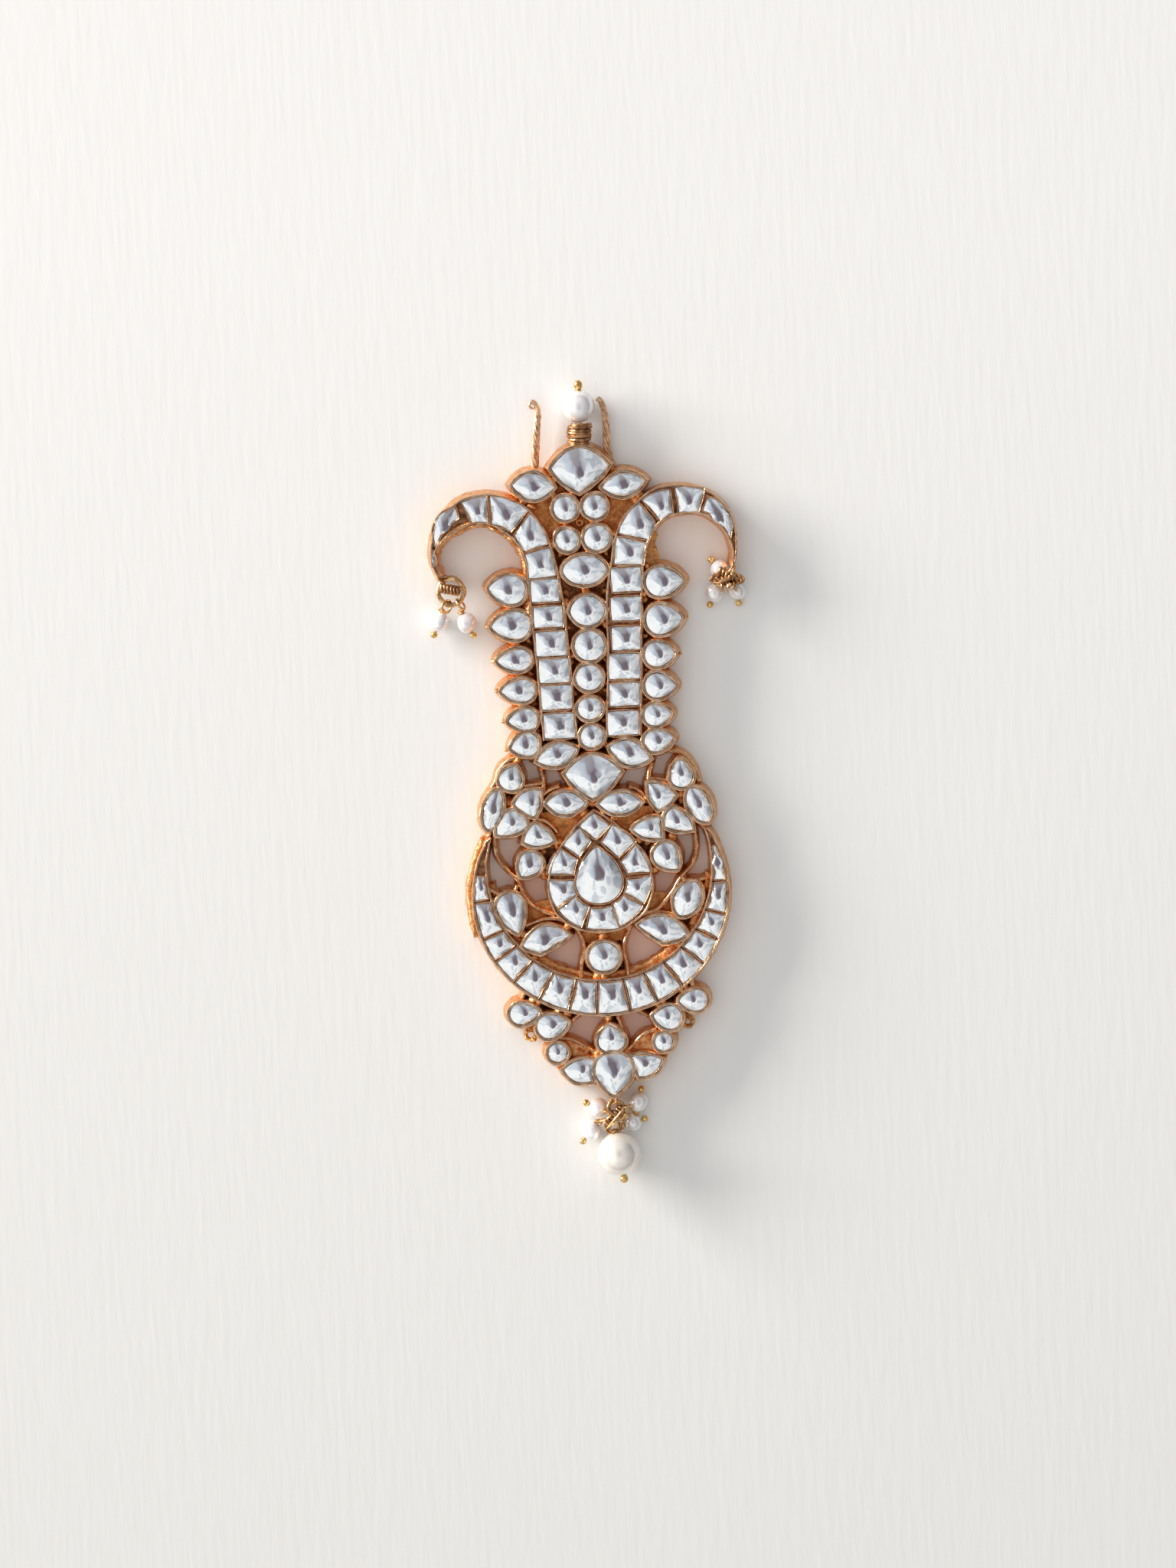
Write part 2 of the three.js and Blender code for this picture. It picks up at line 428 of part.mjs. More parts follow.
// A standing wall of even width along a smooth line.
function rib(points) {
  const line = smoothLine(points, points.length > 2 && points.length < 5 ? 2 : 1);
  const side = (way) =>
    line.map(([x, y], i) => {
      const [ax, ay] = line[Math.max(0, i - 1)];
      const [bx, by] = line[Math.min(line.length - 1, i + 1)];
      const along = new THREE.Vector2(bx - ax, by - ay).normalize();
      return [x - (along.y * way * RIB_WIDTH) / 2, y + (along.x * way * RIB_WIDTH) / 2];
    });
  return plate([...side(-1), ...side(1).reverse()], RIB_HEIGHT);
}

const vector = ([x, y, z]) => new THREE.Vector3(x, y, z);

function tube(points, radius, steps, sides = 6) {
  const corners = Array.from({ length: sides }, (_, i) => {
    const a = (2 * Math.PI * i) / sides;
    return new THREE.Vector2(radius * Math.cos(a), radius * Math.sin(a));
  });
  const extrudePath =
    points.length > 2
      ? new THREE.CatmullRomCurve3(points.map(vector))
      : new THREE.LineCurve3(vector(points[0]), vector(points[1]));
  return toSolid(new THREE.ExtrudeGeometry(new THREE.Shape(corners), { steps, extrudePath, bevelEnabled: false }));
}

function ball(at, radius, sides = 10) {
  const geometry = new THREE.SphereGeometry(radius, sides, sides / 2);
  geometry.translate(...at);
  return toSolid(geometry);
}

function ring({ at, rx, ry = rx, wire, normal }, sides = 12) {
  const geometry = new THREE.TorusGeometry(1, wire, 5, sides);
  const position = geometry.attributes.position;
  for (let i = 0; i < position.count; i++) {
    const p = new THREE.Vector3().fromBufferAttribute(position, i);
    const away = Math.hypot(p.x, p.y);
    const ux = p.x / away;
    const uy = p.y / away;
    position.setXYZ(i, ux * (rx + away - 1), uy * (ry + away - 1), p.z);
  }
  const turn = new THREE.Quaternion().setFromUnitVectors(new THREE.Vector3(0, 0, 1), vector(normal).normalize());
  geometry.applyQuaternion(turn);
  geometry.translate(...at);
  return toSolid(geometry);
}

// ---------------------------------------------------------------- parts of the frame
function trackBody({ outer, inner }) {
  const rim = counterClockwise([...smoothLine(outer, 2), ...smoothLine(inner, 2).reverse()]);
  return loft([{ points: grown(rim, DRAFT), z: 0 }, { points: rim, z: RIM_HEIGHT }]);
}

const cellOutline = ([x, y, width, height]) =>
  cornerOutline(
    {
      corners: [
        [x - width / 2, y - height / 2],
        [x + width / 2, y - height / 2],
        [x + width / 2, y + height / 2],
        [x - width / 2, y + height / 2],
      ],
      rise: [0.03, 0.03, 0.03, 0.03],
    },
    2,
  );

// Where a ray from the crescent's hub meets an ellipse.
function fromHub(angle, { x, y, rx, ry }) {
  const { hub } = CRESCENT;
  const ux = Math.cos(angle) / rx;
  const uy = Math.sin(angle) / ry;
  const ox = (hub.x - x) / rx;
  const oy = (hub.y - y) / ry;
  const a = ux * ux + uy * uy;
  const b = ux * ox + uy * oy;
  const reach = (-b + Math.sqrt(b * b - a * (ox * ox + oy * oy - 1))) / a;
  return [hub.x + reach * Math.cos(angle), hub.y + reach * Math.sin(angle)];
}
const crescentEdges = {
  outer: CRESCENT.outer,
  inner: { x: CRESCENT.inner.x, y: CRESCENT.inner.y, rx: CRESCENT.inner.r, ry: CRESCENT.inner.r },
};

function crescentBody() {
  const hornAngle = Math.asin((CRESCENT.hornY - CRESCENT.hub.y) / CRESCENT.hornReach);
  const steps = 20;
  const edge = (which) =>
    Array.from({ length: steps + 1 }, (_, i) =>
      fromHub(Math.PI - hornAngle + ((Math.PI + 2 * hornAngle) * i) / steps, crescentEdges[which]));
  const outer = edge("outer");
  const inner = edge("inner");
  for (const end of [0, steps]) {
    // the horns draw in towards the flowers
    outer[end] = outer[end].map((v, k) => v + (inner[end][k] - v) * CRESCENT.hornTaper);
  }
  const rim = counterClockwise([...outer, ...inner.reverse()]);
  return loft([{ points: grown(rim, DRAFT), z: 0 }, { points: rim, z: RIM_HEIGHT }]);
}

function crescentStones() {
  const { bars, barHalf, outerReach, innerReach, hub } = CRESCENT;
  const pulled = ([x, y], by) => {
    const away = Math.hypot(x - hub.x, y - hub.y);
    return [x + ((hub.x - x) / away) * by, y + ((hub.y - y) / away) * by];
  };
  return bars.slice(1).map((end, i) => {
    const outerShift = barHalf / outerReach;
    const innerShift = barHalf / innerReach;
    const from = degrees(bars[i]);
    const to = degrees(end);
    const point = (angle, which, inset) => pulled(fromHub(angle, crescentEdges[which]), inset);
    return cornerOutline(
      {
        corners: [
          point(from + outerShift, "outer", RIM_WIDTH),
          point(to - outerShift, "outer", RIM_WIDTH),
          point(to - innerShift, "inner", -RIM_WIDTH),
          point(from + innerShift, "inner", -RIM_WIDTH),
        ],
        rise: [0.05, 0, -0.04, 0],
      },
      2,
    );
  });
}

// The neck is a core wound with wire, in one turned solid about the line of the finial's pin.
function neck() {
  const { x, z, from, to, turns, rootRadius, topRadius, narrow, fullAfter } = NECK;
  const profile = [[0, 0]];
  for (let i = 0; i < turns; i++) {
    const y = ((to - from) * i) / turns;
    const swell = narrow + (1 - narrow) * Math.min(1, (i + 1) / fullAfter);
    profile.push([rootRadius * swell, y], [topRadius * swell, y + (to - from) / turns / 2]);
  }
  profile.push([rootRadius, to - from], [0, to - from]);
  const geometry = new THREE.LatheGeometry(profile.map(([r, h]) => new THREE.Vector2(r, h)), 10);
  geometry.translate(x, from, z);
  // the turned solid already stands along Y
  return toSolid(geometry);
}

const finialPin = () =>
  joined([
    tube(
      [[FINIAL.pinX, NECK.to - FINIAL.pinRoot, NECK.z], [FINIAL.pinEndX, FINIAL.ballY, NECK.z]],
      FINIAL.pinRadius,
      1,
    ),
    ball([FINIAL.pinEndX, FINIAL.ballY, NECK.z], FINIAL.ballRadius),
  ]);

const prong = ({ radius, line, curl }) => {
  const end = line[line.length - 1];
  return joined([
    tube(line.map(([x, y]) => [x, y, PRONG_Z]), radius, 6, 5),
    ring(
      {
        at: [(end[0] + curl[0]) / 2, curl[1] - PRONG_LOOP.below, PRONG_Z],
        rx: PRONG_LOOP.radius,
        wire: radius * PRONG_LOOP.wire,
        normal: [0, 0, 1],
      },
      10,
    ),
  ]);
};

function lug({ at, radius, wire, normal, stem }) {
  const flat = vector(normal).normalize();
  const way = vector(stem).sub(vector(at));
  way.addScaledVector(flat, -way.dot(flat)).normalize();
  const root = vector(at).addScaledVector(way, radius);
  return joined([ring({ at, rx: radius, wire, normal }, 10), tube([root.toArray(), stem], wire, 1)]);
}

// ---------------------------------------------------------------- the assembly
const mainStones = [
  ...MAIN_STONES.map(([name, cut, x, y, length, width, turn]) => ({
    name,
    outline: cutOutline({ cut, x, y, length, width, turn }, MAIN_FACETS),
  })),
  ...FAN_STONES.map((stone) => ({ name: stone.name, outline: cornerOutline(stone, 4) })),
];
const smallOutlines = [
  ...SMALL_STONES.map(([cut, x, y, length, width, turn]) => cutOutline({ cut, x, y, length, width, turn }, FACETS)),
  ...CORNER_STONES.map((stone) => cornerOutline(stone, stone.corners.length > 3 ? 2 : 3)),
  ...TRACK_CELLS.map(cellOutline),
  ...crescentStones(),
];

function frame() {
  const lone = [
    ...mainStones.map(({ outline }) => setting(outline)),
    ...SMALL_STONES.map((_, i) => setting(smallOutlines[i])),
    ...CORNER_STONES.slice(0, LONE_CORNER_STONES).map((_, i) => setting(smallOutlines[SMALL_STONES.length + i])),
  ];
  const haloOutline = cutOutline(HALO, 20);
  const bodies = [
    trackBody(LEFT_TRACK),
    trackBody(RIGHT_TRACK),
    crescentBody(),
    loft([{ points: grown(haloOutline, DRAFT), z: 0 }, { points: haloOutline, z: RIM_HEIGHT }]),
    ...PLATES.map((corners) => plate(corners, PLATE_HEIGHT)),
    ...RIBS.map(rib),
    ...PRONGS.map(prong),
    ...LUGS.map(lug),
    neck(),
    finialPin(),
  ];
  const metal = joined([...lone, ...bodies]);
  const seats = mainStones.map(({ outline }) => {
    const points = grown(outline, SEAT_GAP / 2);
    return loft([{ points, z: SEAT_FLOOR }, { points, z: RIM_HEIGHT + STONE_CLEARANCE }]);
  });
  const crowns = smallOutlines.map((outline) => crown(outline));
  return joined([metal.subtract(joined(seats)), ...crowns]);
}

const mainStone = ({ name, outline }) => {
  const cut = grown(outline, -SEAT_GAP / 2);
  return toMesh(name, crown(cut, RIM_HEIGHT, RIM_HEIGHT - SEAT_FLOOR - SEAT_GAP), FOILED_GLASS);
};

// A drilled pearl, turned about its bore.
function pearl(name, at, radius, along, sides = 10, rings = 6) {
  const edge = Math.asin(BORE_RADIUS / radius);
  const profile = Array.from({ length: rings + 1 }, (_, i) => {
    const a = edge + ((Math.PI - 2 * edge) * i) / rings;
    return new THREE.Vector2(radius * Math.sin(a), -radius * Math.cos(a));
  });
  const geometry = new THREE.LatheGeometry([...profile, profile[0].clone()], sides);
  const turn = new THREE.Quaternion().setFromUnitVectors(new THREE.Vector3(0, 1, 0), along.clone().normalize());
  geometry.applyQuaternion(turn);
  geometry.translate(...at);
  return toMesh(name, toSolid(geometry), PEARL);
}

// A bent head pin: ball, shank through the pearl, and an eye at its other end.
function pin({ pearl: at, radius, towards: aim, eye, eyeRadius, normal }) {
  const centre = vector(at);
  const along = vector(aim).sub(centre).normalize();
  const ballAt = centre.clone().addScaledVector(along, radius + BALL_RADIUS + BALL_GAP).toArray();
  const out = centre.clone().addScaledVector(along, -(radius + PIN_BEND));
  const flat = vector(normal).normalize();
  const towards = out.clone().sub(vector(eye));
  towards.addScaledVector(flat, -towards.dot(flat)).normalize();
  const meets = vector(eye).addScaledVector(towards, eyeRadius);
  const bend = out.clone().sub(meets).setLength(PIN_RADIUS).add(out);
  return joined([
    ball(ballAt, BALL_RADIUS),
    tube([ballAt, out.toArray()], PIN_RADIUS, 1, 5),
    tube([bend.toArray(), meets.toArray()], 0.95 * PIN_RADIUS, 1, 5),
    ring({ at: eye, rx: eyeRadius, wire: PIN_RADIUS, normal }, 10),
  ]);
}

const assembly = new THREE.Group();
assembly.add(toMesh("frame", frame(), GOLD));
mainStones.forEach((stone) => assembly.add(mainStone(stone)));
assembly.add(pearl("finial_pearl", [FINIAL.x, FINIAL.y, NECK.z], FINIAL.radius, new THREE.Vector3(0, 1, 0), 12, 7));
for (const link of LINKS) assembly.add(toMesh(link.name, ring(link, 10), PALE_GOLD));
for (const drop of DROPS) {
  const along = vector(drop.towards).sub(vector(drop.pearl));
  const size = drop.radius > 3 ? [12, 7] : [10, 6];
  assembly.add(pearl("pearl_" + drop.name, drop.pearl, drop.radius, along, ...size));
  assembly.add(toMesh("pin_" + drop.name, pin(drop), PALE_GOLD));
}

// The origin is under the middle of the ornament's box, at the level of its back.
const box = new THREE.Box3().setFromObject(assembly);
const centre = box.getCenter(new THREE.Vector3());
assembly.position.set(-centre.x, -centre.y, -box.min.z);

const ornament = new THREE.Group();
ornament.add(assembly);
export default ornament;
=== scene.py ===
"""A gold turban ornament set with foil-backed glass, lying on its flat back on a pale board.

Its layout is in millimetres, X across, Y along it to the finial, Z up. Blender's units are metres.
"""

import math

import bmesh
import bpy
from mathutils import Matrix, Vector, noise


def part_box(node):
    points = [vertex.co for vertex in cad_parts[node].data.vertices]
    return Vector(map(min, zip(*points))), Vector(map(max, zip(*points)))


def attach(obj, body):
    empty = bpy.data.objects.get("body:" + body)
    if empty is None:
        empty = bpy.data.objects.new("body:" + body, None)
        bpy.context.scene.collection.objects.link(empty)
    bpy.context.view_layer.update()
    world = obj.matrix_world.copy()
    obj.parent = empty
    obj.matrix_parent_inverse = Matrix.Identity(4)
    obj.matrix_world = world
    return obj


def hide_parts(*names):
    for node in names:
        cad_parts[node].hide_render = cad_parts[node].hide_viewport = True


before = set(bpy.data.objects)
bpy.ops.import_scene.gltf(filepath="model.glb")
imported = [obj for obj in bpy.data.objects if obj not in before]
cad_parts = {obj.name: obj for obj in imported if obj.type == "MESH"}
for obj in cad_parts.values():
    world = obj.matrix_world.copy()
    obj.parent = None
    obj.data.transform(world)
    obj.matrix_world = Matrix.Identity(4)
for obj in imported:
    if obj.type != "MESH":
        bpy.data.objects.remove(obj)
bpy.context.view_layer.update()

MM = 0.001
UP = (0, 0, 1)
noise.seed_set(7)  # so that the unevenness comes out the same each run

# ---------------------------------------------------------------- sizes
RIM_HEIGHT = 5.0  # top of a setting's rim
RIM_WIDTH = 0.65  # gold left showing round a stone
DRAFT = 0.5  # how much wider a setting is at its back
SEAT_DEPTH = 1.3  # from the rim down to the foil under a stone
RIB_HEIGHT = 4.3
RIB_WIDTH = 0.5
FINE_WEAR = (0.06, 0.7)  # how uneven a soldered wall is, and over what length
MITRE = 0.625  # the sharpest corner that is still mitred in full
STONE_GAP = 0.05  # dark line between a stone and its rim
GIRDLE = 4.8  # height of a stone's widest outline
CHANNEL_FLOOR = 4.25  # between the stones of a track
RAIL_WIDTH = 0.38
RAIL_SHARE = 0.45  # the most of a narrow channel's width that each rail takes
COLLAR = 0.27  # thickness of the wall round a stone in a track
STEPS_ROUND = 40  # points round a setting's outline
WIDTH_STEPS = 90  # tries to find where a stone is widest
CELL_RISE = 0.03  # how far a track stone's sides bow out, of their length
CRESCENT_RISES = (0.05, 0, -0.04, 0)
STONE_FOOT = 0.05  # a stone's back above its seat
DOME = 1.4  # how soon a crown's facets round off to a dome
FACET_NOISE, LEVEL_NOISE = 3.1, 9  # how fast a crown's unevenness changes along it and up it
SMALL_STONE_CORNERS = 8  # round each level of a small stone's crown
FACET_ANGLE = 13  # facets that meet at more than this many degrees keep a sharp edge
TRACK_STEPS = 90  # points along a track

NECK = {
    "x": 1.75, "z": 3.1, "from": 61.6, "to": 66.1,
    "root": 1.62, "top": 2.0, "widens": 1.8, "core": 1.6,  # radii of the winding and of what it is wound on
    "turns": 7, "wire": 0.33, "steps": 28, "lean": 0.3, "swell": 0.12, "sway": 0.1,
}
FINIAL = {
    "x": 2.1, "y": 69.1, "radius": 2.95, "hole": 0.4,
    "pin_x": 2.2, "pin": 0.28, "pin_root": 1.2, "ball_y": 72.85, "ball": 0.82, "ball_rise": 0.1, "egg": 1.16,
    "washer": 0.5, "washer_wire": 0.2, "washer_sunk": 0.12,
}
PEARL_HOLE = 0.32
HOLE_FOOT = (0.75, 0.7)  # how wide a hole's foot is, of its mouth, and how deep, of its pearl's radius
FINIAL_SKIN, LARGE_SKIN, SMALL_SKIN = (0.12, 3.0), (0.12, 2.6), (0.22, 2.6)  # how uneven, over what length
HOOP_SIDES = 10  # sides of a ring's wire
WELD = 1e-7  # points closer than this, in metres, become one
PIN_WIRE = 0.23
BALL_RADIUS = 0.64
BALL_GAP = 0.05  # between a pin's ball and its pearl
PIN_BEND = 0.45  # how far past its pearl a pin turns up to its eye
PIN_KINK = 0.15  # how far back, and how near to its eye, the pin's bend is rounded
WRAPS, WRAP_STEPS = 3, 12  # turns of wire round a pin under its eye, and points in each
WRAP_RADIUS, WRAP_FROM, WRAP_LENGTH = 2.0 * PIN_WIRE, -0.02, 0.42

SHEET_STEPS, SHEET_CUTS = 6, 3  # points along each side of a recessed sheet, and cuts across it
SHEET_FOOT = 0.9  # below this height its sides stay straight
LUMP_HEIGHT = 1.5  # of a lump of solder's radius
LUMP_SKIN = (0.35, 0.9)
TAB_SIZE, TAB_BEVEL, TAB_TURN = (0.9, 0.75), 0.12, 1.7
LUG_LUMPS = {"count": 5, "turn": 1.3, "top": 2.9, "sway": 0.4, "radius": 0.42}
LUG_STEM = 1.1  # its wire, of its ring's
SOLDER_GAPS = (0.9, 2.6)  # gaps between two stones that a lump of solder fills
SOLDER_TOP, SOLDER_SHARE = 4.6, 0.45  # its height, and its radius as a share of the gap
NIB = {"past": 0.75, "top": 4.75, "radius": 0.38}  # the lump at the tip of each side drop
SIDE_DROPS_FROM = 7  # the drops beside the tracks stand above this Y
NEIGHBOURS_WITHIN = 11  # stones whose middles lie farther apart are never neighbours
BALL_STRETCH, BALL_STEPS = 1.25, 24  # the large pearl's ball, of a small one's, and steps round a ball
LARGE_PEARL_OVER = 3  # a pearl of more than this radius is the large one

# Finishes by material index: of the gold pieces, and of the pins.
WALL, EDGE, TOP, SEAT = range(4)
WIRE, BALL = range(2)

# A setting's section, from its back, over its rim and down to its seat.
SETTING_SECTION = (
    # out from the stone, height, finish
    (RIM_WIDTH + DRAFT, 0.0, WALL),
    (RIM_WIDTH + 0.36, 1.5, WALL),
    (RIM_WIDTH + 0.2, 3.1, WALL),
    (RIM_WIDTH + 0.06, 4.5, WALL),
    (RIM_WIDTH - 0.02, 4.84, WALL),
    (RIM_WIDTH - 0.1, RIM_HEIGHT - 0.03, EDGE),
    (RIM_WIDTH - 0.19, RIM_HEIGHT, EDGE),
    (0.1, RIM_HEIGHT, TOP),
    (0.03, RIM_HEIGHT - 0.04, EDGE),
    (0.0, RIM_HEIGHT - 0.14, WALL),
    (0.0, RIM_HEIGHT - SEAT_DEPTH, WALL),
)
# The same for a long channel that holds a row of stones, from its outline.
CHANNEL_SECTION = (
    (DRAFT, 0.0, WALL),
    (0.34, 1.5, WALL),
    (0.2, 3.0, WALL),
    (0.08, 4.4, WALL),
    (0.03, 4.84, WALL),
    (-0.04, RIM_HEIGHT - 0.03, EDGE),
    (-0.12, RIM_HEIGHT, EDGE),
    (-0.32, RIM_HEIGHT, TOP),
    (0.01 - RAIL_WIDTH, RIM_HEIGHT - 0.05, EDGE),
    (-RAIL_WIDTH, CHANNEL_FLOOR, WALL),
)
COLLAR_SECTION = (
    (COLLAR + 0.06, CHANNEL_FLOOR - 0.3, WALL),
    (COLLAR, RIM_HEIGHT - 0.12, WALL),
    (COLLAR - 0.07, RIM_HEIGHT - 0.01, EDGE),
    (0.09, RIM_HEIGHT, TOP),
    (0.03, RIM_HEIGHT - 0.04, EDGE),
    (0.0, RIM_HEIGHT - 0.14, WALL),
    (0.0, RIM_HEIGHT - SEAT_DEPTH, WALL),
)
# A rib's section, and those of the rough gold: out from its outline, height, finish.
RIB_SECTION = (
    (0.5, 0.0, WALL), (0.32, 2.4, WALL), (0.04, RIB_HEIGHT - 0.12, WALL), (-0.08, RIB_HEIGHT, EDGE)
)
HOOK_SECTION = ((0.25, 0.0, WALL), (0.1, 3.2, WALL), (0.0, 4.45, WALL), (-0.2, 4.75, WALL))
SHELF_SECTION = ((0.2, 3.0, WALL), (0.1, 4.5, WALL), (-0.2, 4.8, WALL))
HORN_SECTION = ((0.2, 0.0, WALL), (0.1, 2.6, WALL), (0.0, 3.9, WALL), (-0.2, 4.2, WALL))
LEDGE_SECTION = ((0.2, 0.0, WALL), (0.1, 1.5, WALL), (0.0, 2.8, WALL), (-0.2, 3.1, WALL))
# A stone's crown: share of its outline, share of its rise, and how uneven its corners are.
CROWN = (
    (0.985, 0.08, 0.0),
    (0.8, 0.42, 0.08),
    (0.6, 0.66, 0.05),
    (0.4, 0.84, 0.02),
    (0.22, 0.95, 0.0),
    (0.1, 0.99, 0.0),
)
CROWN_SLOPE = 0.29  # rise over a stone's mean radius

# How sharply each cut closes at its two ends: 0 is round, 1 is a point.
CUTS = {
    "round": (0, 0),
    "oval": (0.25, 0.25),
    "marquise": (0.9, 0.9),
    "drop": (0.55, 0),
    "pear": (0.7, 0),
}

# ---------------------------------------------------------------- layout
MAIN_STONES = (
    # CAD node, cut, x, y, length, width, turn
    ("marquise_top_left", "marquise", -6.95, 55.1, 7.7, 4.9, -6),
    ("marquise_top_right", "marquise", 9.45, 54.65, 7.8, 4.4, 6),
    ("round_stone_upper_left", "round", -1.3, 50.85, 4.4, 4.4, 0),
    ("round_stone_upper_right", "round", 4.05, 50.9, 4.4, 4.4, 0),
    ("round_stone_lower_left", "round", -1.3, 45.05, 4.1, 4.1, 0),
    ("round_stone_lower_right", "round", 4.15, 45.15, 4.8, 4.6, 0),
    ("marquise_waist_left", "marquise", -5.2, 6.0, 7.5, 4.2, 15),
    ("marquise_waist_right", "marquise", 8.1, 5.75, 7.7, 4.6, -19),
    ("marquise_crown_left", "marquise", -4.0, -2.9, 7.2, 4.25, -2),
    ("marquise_crown_right", "marquise", 5.85, -3.35, 7.7, 4.1, 0),
    ("centre_pear_stone", "pear", 1.3, -16.3, 10.6, 8.6, 91),
    ("round_stone_base", "round", 1.5, -31.35, 5.7, 5.35, 0),
    ("bottom_pear_stone", "pear", 2.2, -53.0, 7.9, 7.0, 268),
)
FAN_STONES = (
    # CAD node, corners, rise of each side to the next corner
    ("fan_stone_top", ((-3.55, 58.2), (1.34, 53.55), (6.95, 58.35)), (0.08, 0.08, 0.33)),
    ("fan_stone_lower", ((-3.9, 2.5), (0.95, -2.3), (6.4, 2.5)), (0.08, 0.08, 0.31)),
)
SMALL_STONES = (
    # cut, x, y, length, width, turn
    ("oval", 1.6, 39.45, 8.0, 5.5, 0),
    ("oval", 1.77, 32.0, 6.4, 5.5, 0),
    ("round", 1.79, 25.6, 5.5, 5.5, 0),
    ("round", 1.43, 19.8, 4.9, 4.7, 0),
    ("round", 1.31, 14.2, 4.5, 4.1, 0),
    ("round", 1.38, 9.05, 4.2, 4.1, 0),
    ("drop", -12.6, 36.6, 6.8, 5.3, 173),
    ("drop", -12.3, 30.0, 7.1, 5.2, 180),
    ("drop", -12.0, 23.7, 6.2, 4.1, 180),
    ("drop", -11.6, 18.1, 6.1, 4.3, 180),
    ("drop", -11.0, 12.75, 5.3, 4.0, 183),
    ("drop", -10.9, 8.1, 5.2, 4.3, 191),
    ("drop", 16.0, 36.6, 6.9, 5.4, 0),
    ("drop", 15.6, 29.75, 6.65, 5.5, 1),
    ("drop", 14.5, 23.4, 5.6, 4.6, 0),
    ("drop", 14.3, 17.7, 5.6, 4.6, -4),
    ("drop", 13.6, 12.4, 5.1, 4.0, 0),
    ("drop", 13.5, 7.7, 5.4, 4.0, 8),
    ("drop", -13.7, 2.25, 4.6, 4.1, 67),
    ("oval", -17.3, -3.4, 7.4, 3.4, 72),
    ("drop", -11.25, -13.85, 5.0, 4.2, 231),
    ("drop", 17.25, 1.5, 5.1, 4.1, 93),
    ("oval", 20.2, -4.4, 7.0, 4.0, 115),
    ("drop", 14.0, -13.7, 5.5, 4.6, 307),
    ("pear", -14.8, -22.5, 7.6, 5.0, 283),
    ("oval", 17.3, -21.5, 6.8, 4.8, 60),
    ("drop", -13.5, -41.0, 5.4, 3.9, 2),
    ("drop", -8.5, -43.5, 5.8, 4.4, 10),
    ("drop", 17.3, -40.15, 5.1, 3.9, 180),
    ("drop", 12.5, -43.0, 5.2, 4.3, 172),
    ("drop", 2.0, -46.4, 4.9, 4.9, 96),
    ("round", -7.85, -48.55, 3.5, 3.5, 0),
    ("round", 11.6, -47.55, 3.3, 3.3, 0),
)
LEAF_STONES = (
    # corners, rise: the two flowers, the leaves under the halo, and the half leaves at the bottom
    (((-8.55, -0.3), (-13.35, -2.5), (-9.9, -5.0), (-8.6, -2.8)), (0.2, 0.12, 0.08, 0.0)),
    (((-16.8, -8.0), (-11.2, -6.6), (-13.9, -3.6)), (0.14, 0.18, 0.2)),
    (((-6.55, -9.6), (-9.9, -6.3), (-12.0, -9.6)), (0.12, 0.1, 0.16)),
    (((11.15, 0.0), (15.95, -2.4), (12.85, -4.9), (11.2, -2.6)), (0.14, 0.1, 0.06, 0.0)),
    (((18.9, -8.9), (13.8, -8.1), (15.4, -4.7)), (0.1, 0.2, 0.16)),
    (((7.9, -8.3), (12.9, -6.4), (13.2, -10.1)), (0.14, 0.03, 0.14)),
    (((-13.2, -28.6), (-10.0, -30.2), (-4.5, -27.0)), (0.05, 0.03, 0.3)),
    (((8.0, -25.8), (12.4, -29.3), (16.8, -27.9)), (0.04, 0.1, 0.27)),
    (((-6.95, -51.7), (-1.4, -50.15), (-1.9, -54.1)), (0.14, 0.02, 0.2)),
    (((11.05, -50.75), (5.6, -49.9), (6.8, -53.7)), (0.12, 0.02, 0.2)),
)
LEFT_BEND = (
    (((-9.05, 42.75), (-4.5, 43.85), (-3.65, 38.75), (-8.7, 38.4)), (0.03, 0.03, 0.03, 0)),
    (((-7.75, 50.2), (-4.8, 44.6), (-9.1, 43.35), (-10.75, 46.45)), (0.1, 0.03, 0.05, 0)),
    (((-14.85, 53.8), (-8.05, 50.9), (-11.35, 47.1), (-14.85, 48.6)), (0.08, 0.0, -0.04, 0)),
    (((-20.0, 52.85), (-15.4, 53.8), (-15.45, 49.0), (-18.5, 49.2)), (0.05, 0.0, 0.04, 0)),
    (((-21.3, 52.1), (-20.75, 50.0), (-25.2, 45.0), (-25.55, 47.2)), (0.03, -0.08, 0, 0.2)),
    (((-26.0, 44.5), (-25.4, 44.2), (-25.35, 41.6), (-25.9, 41.4)), (0, 0, 0, 0)),
)
RIGHT_BEND = (
    (((7.75, 45.2), (12.95, 43.8), (12.4, 39.95), (7.05, 40.25)), (0.03, 0.03, 0.03, 0.03)),
    (((12.1, 51.0), (14.8, 47.4), (13.6, 44.4), (8.15, 45.85)), (0.03, 0.03, 0.03, 0.12)),
    (((12.75, 51.6), (17.75, 53.3), (18.2, 49.0), (15.75, 47.75)), (0.08, 0.0, 0.03, 0)),
    (((18.8, 53.6), (24.1, 53.1), (22.8, 48.9), (19.3, 48.8)), (0.05, 0.02, 0.03, 0)),
    (((24.7, 51.6), (23.6, 49.1), (28.3, 43.9), (28.9, 46.4)), (0.02, -0.08, 0, 0.16)),
)
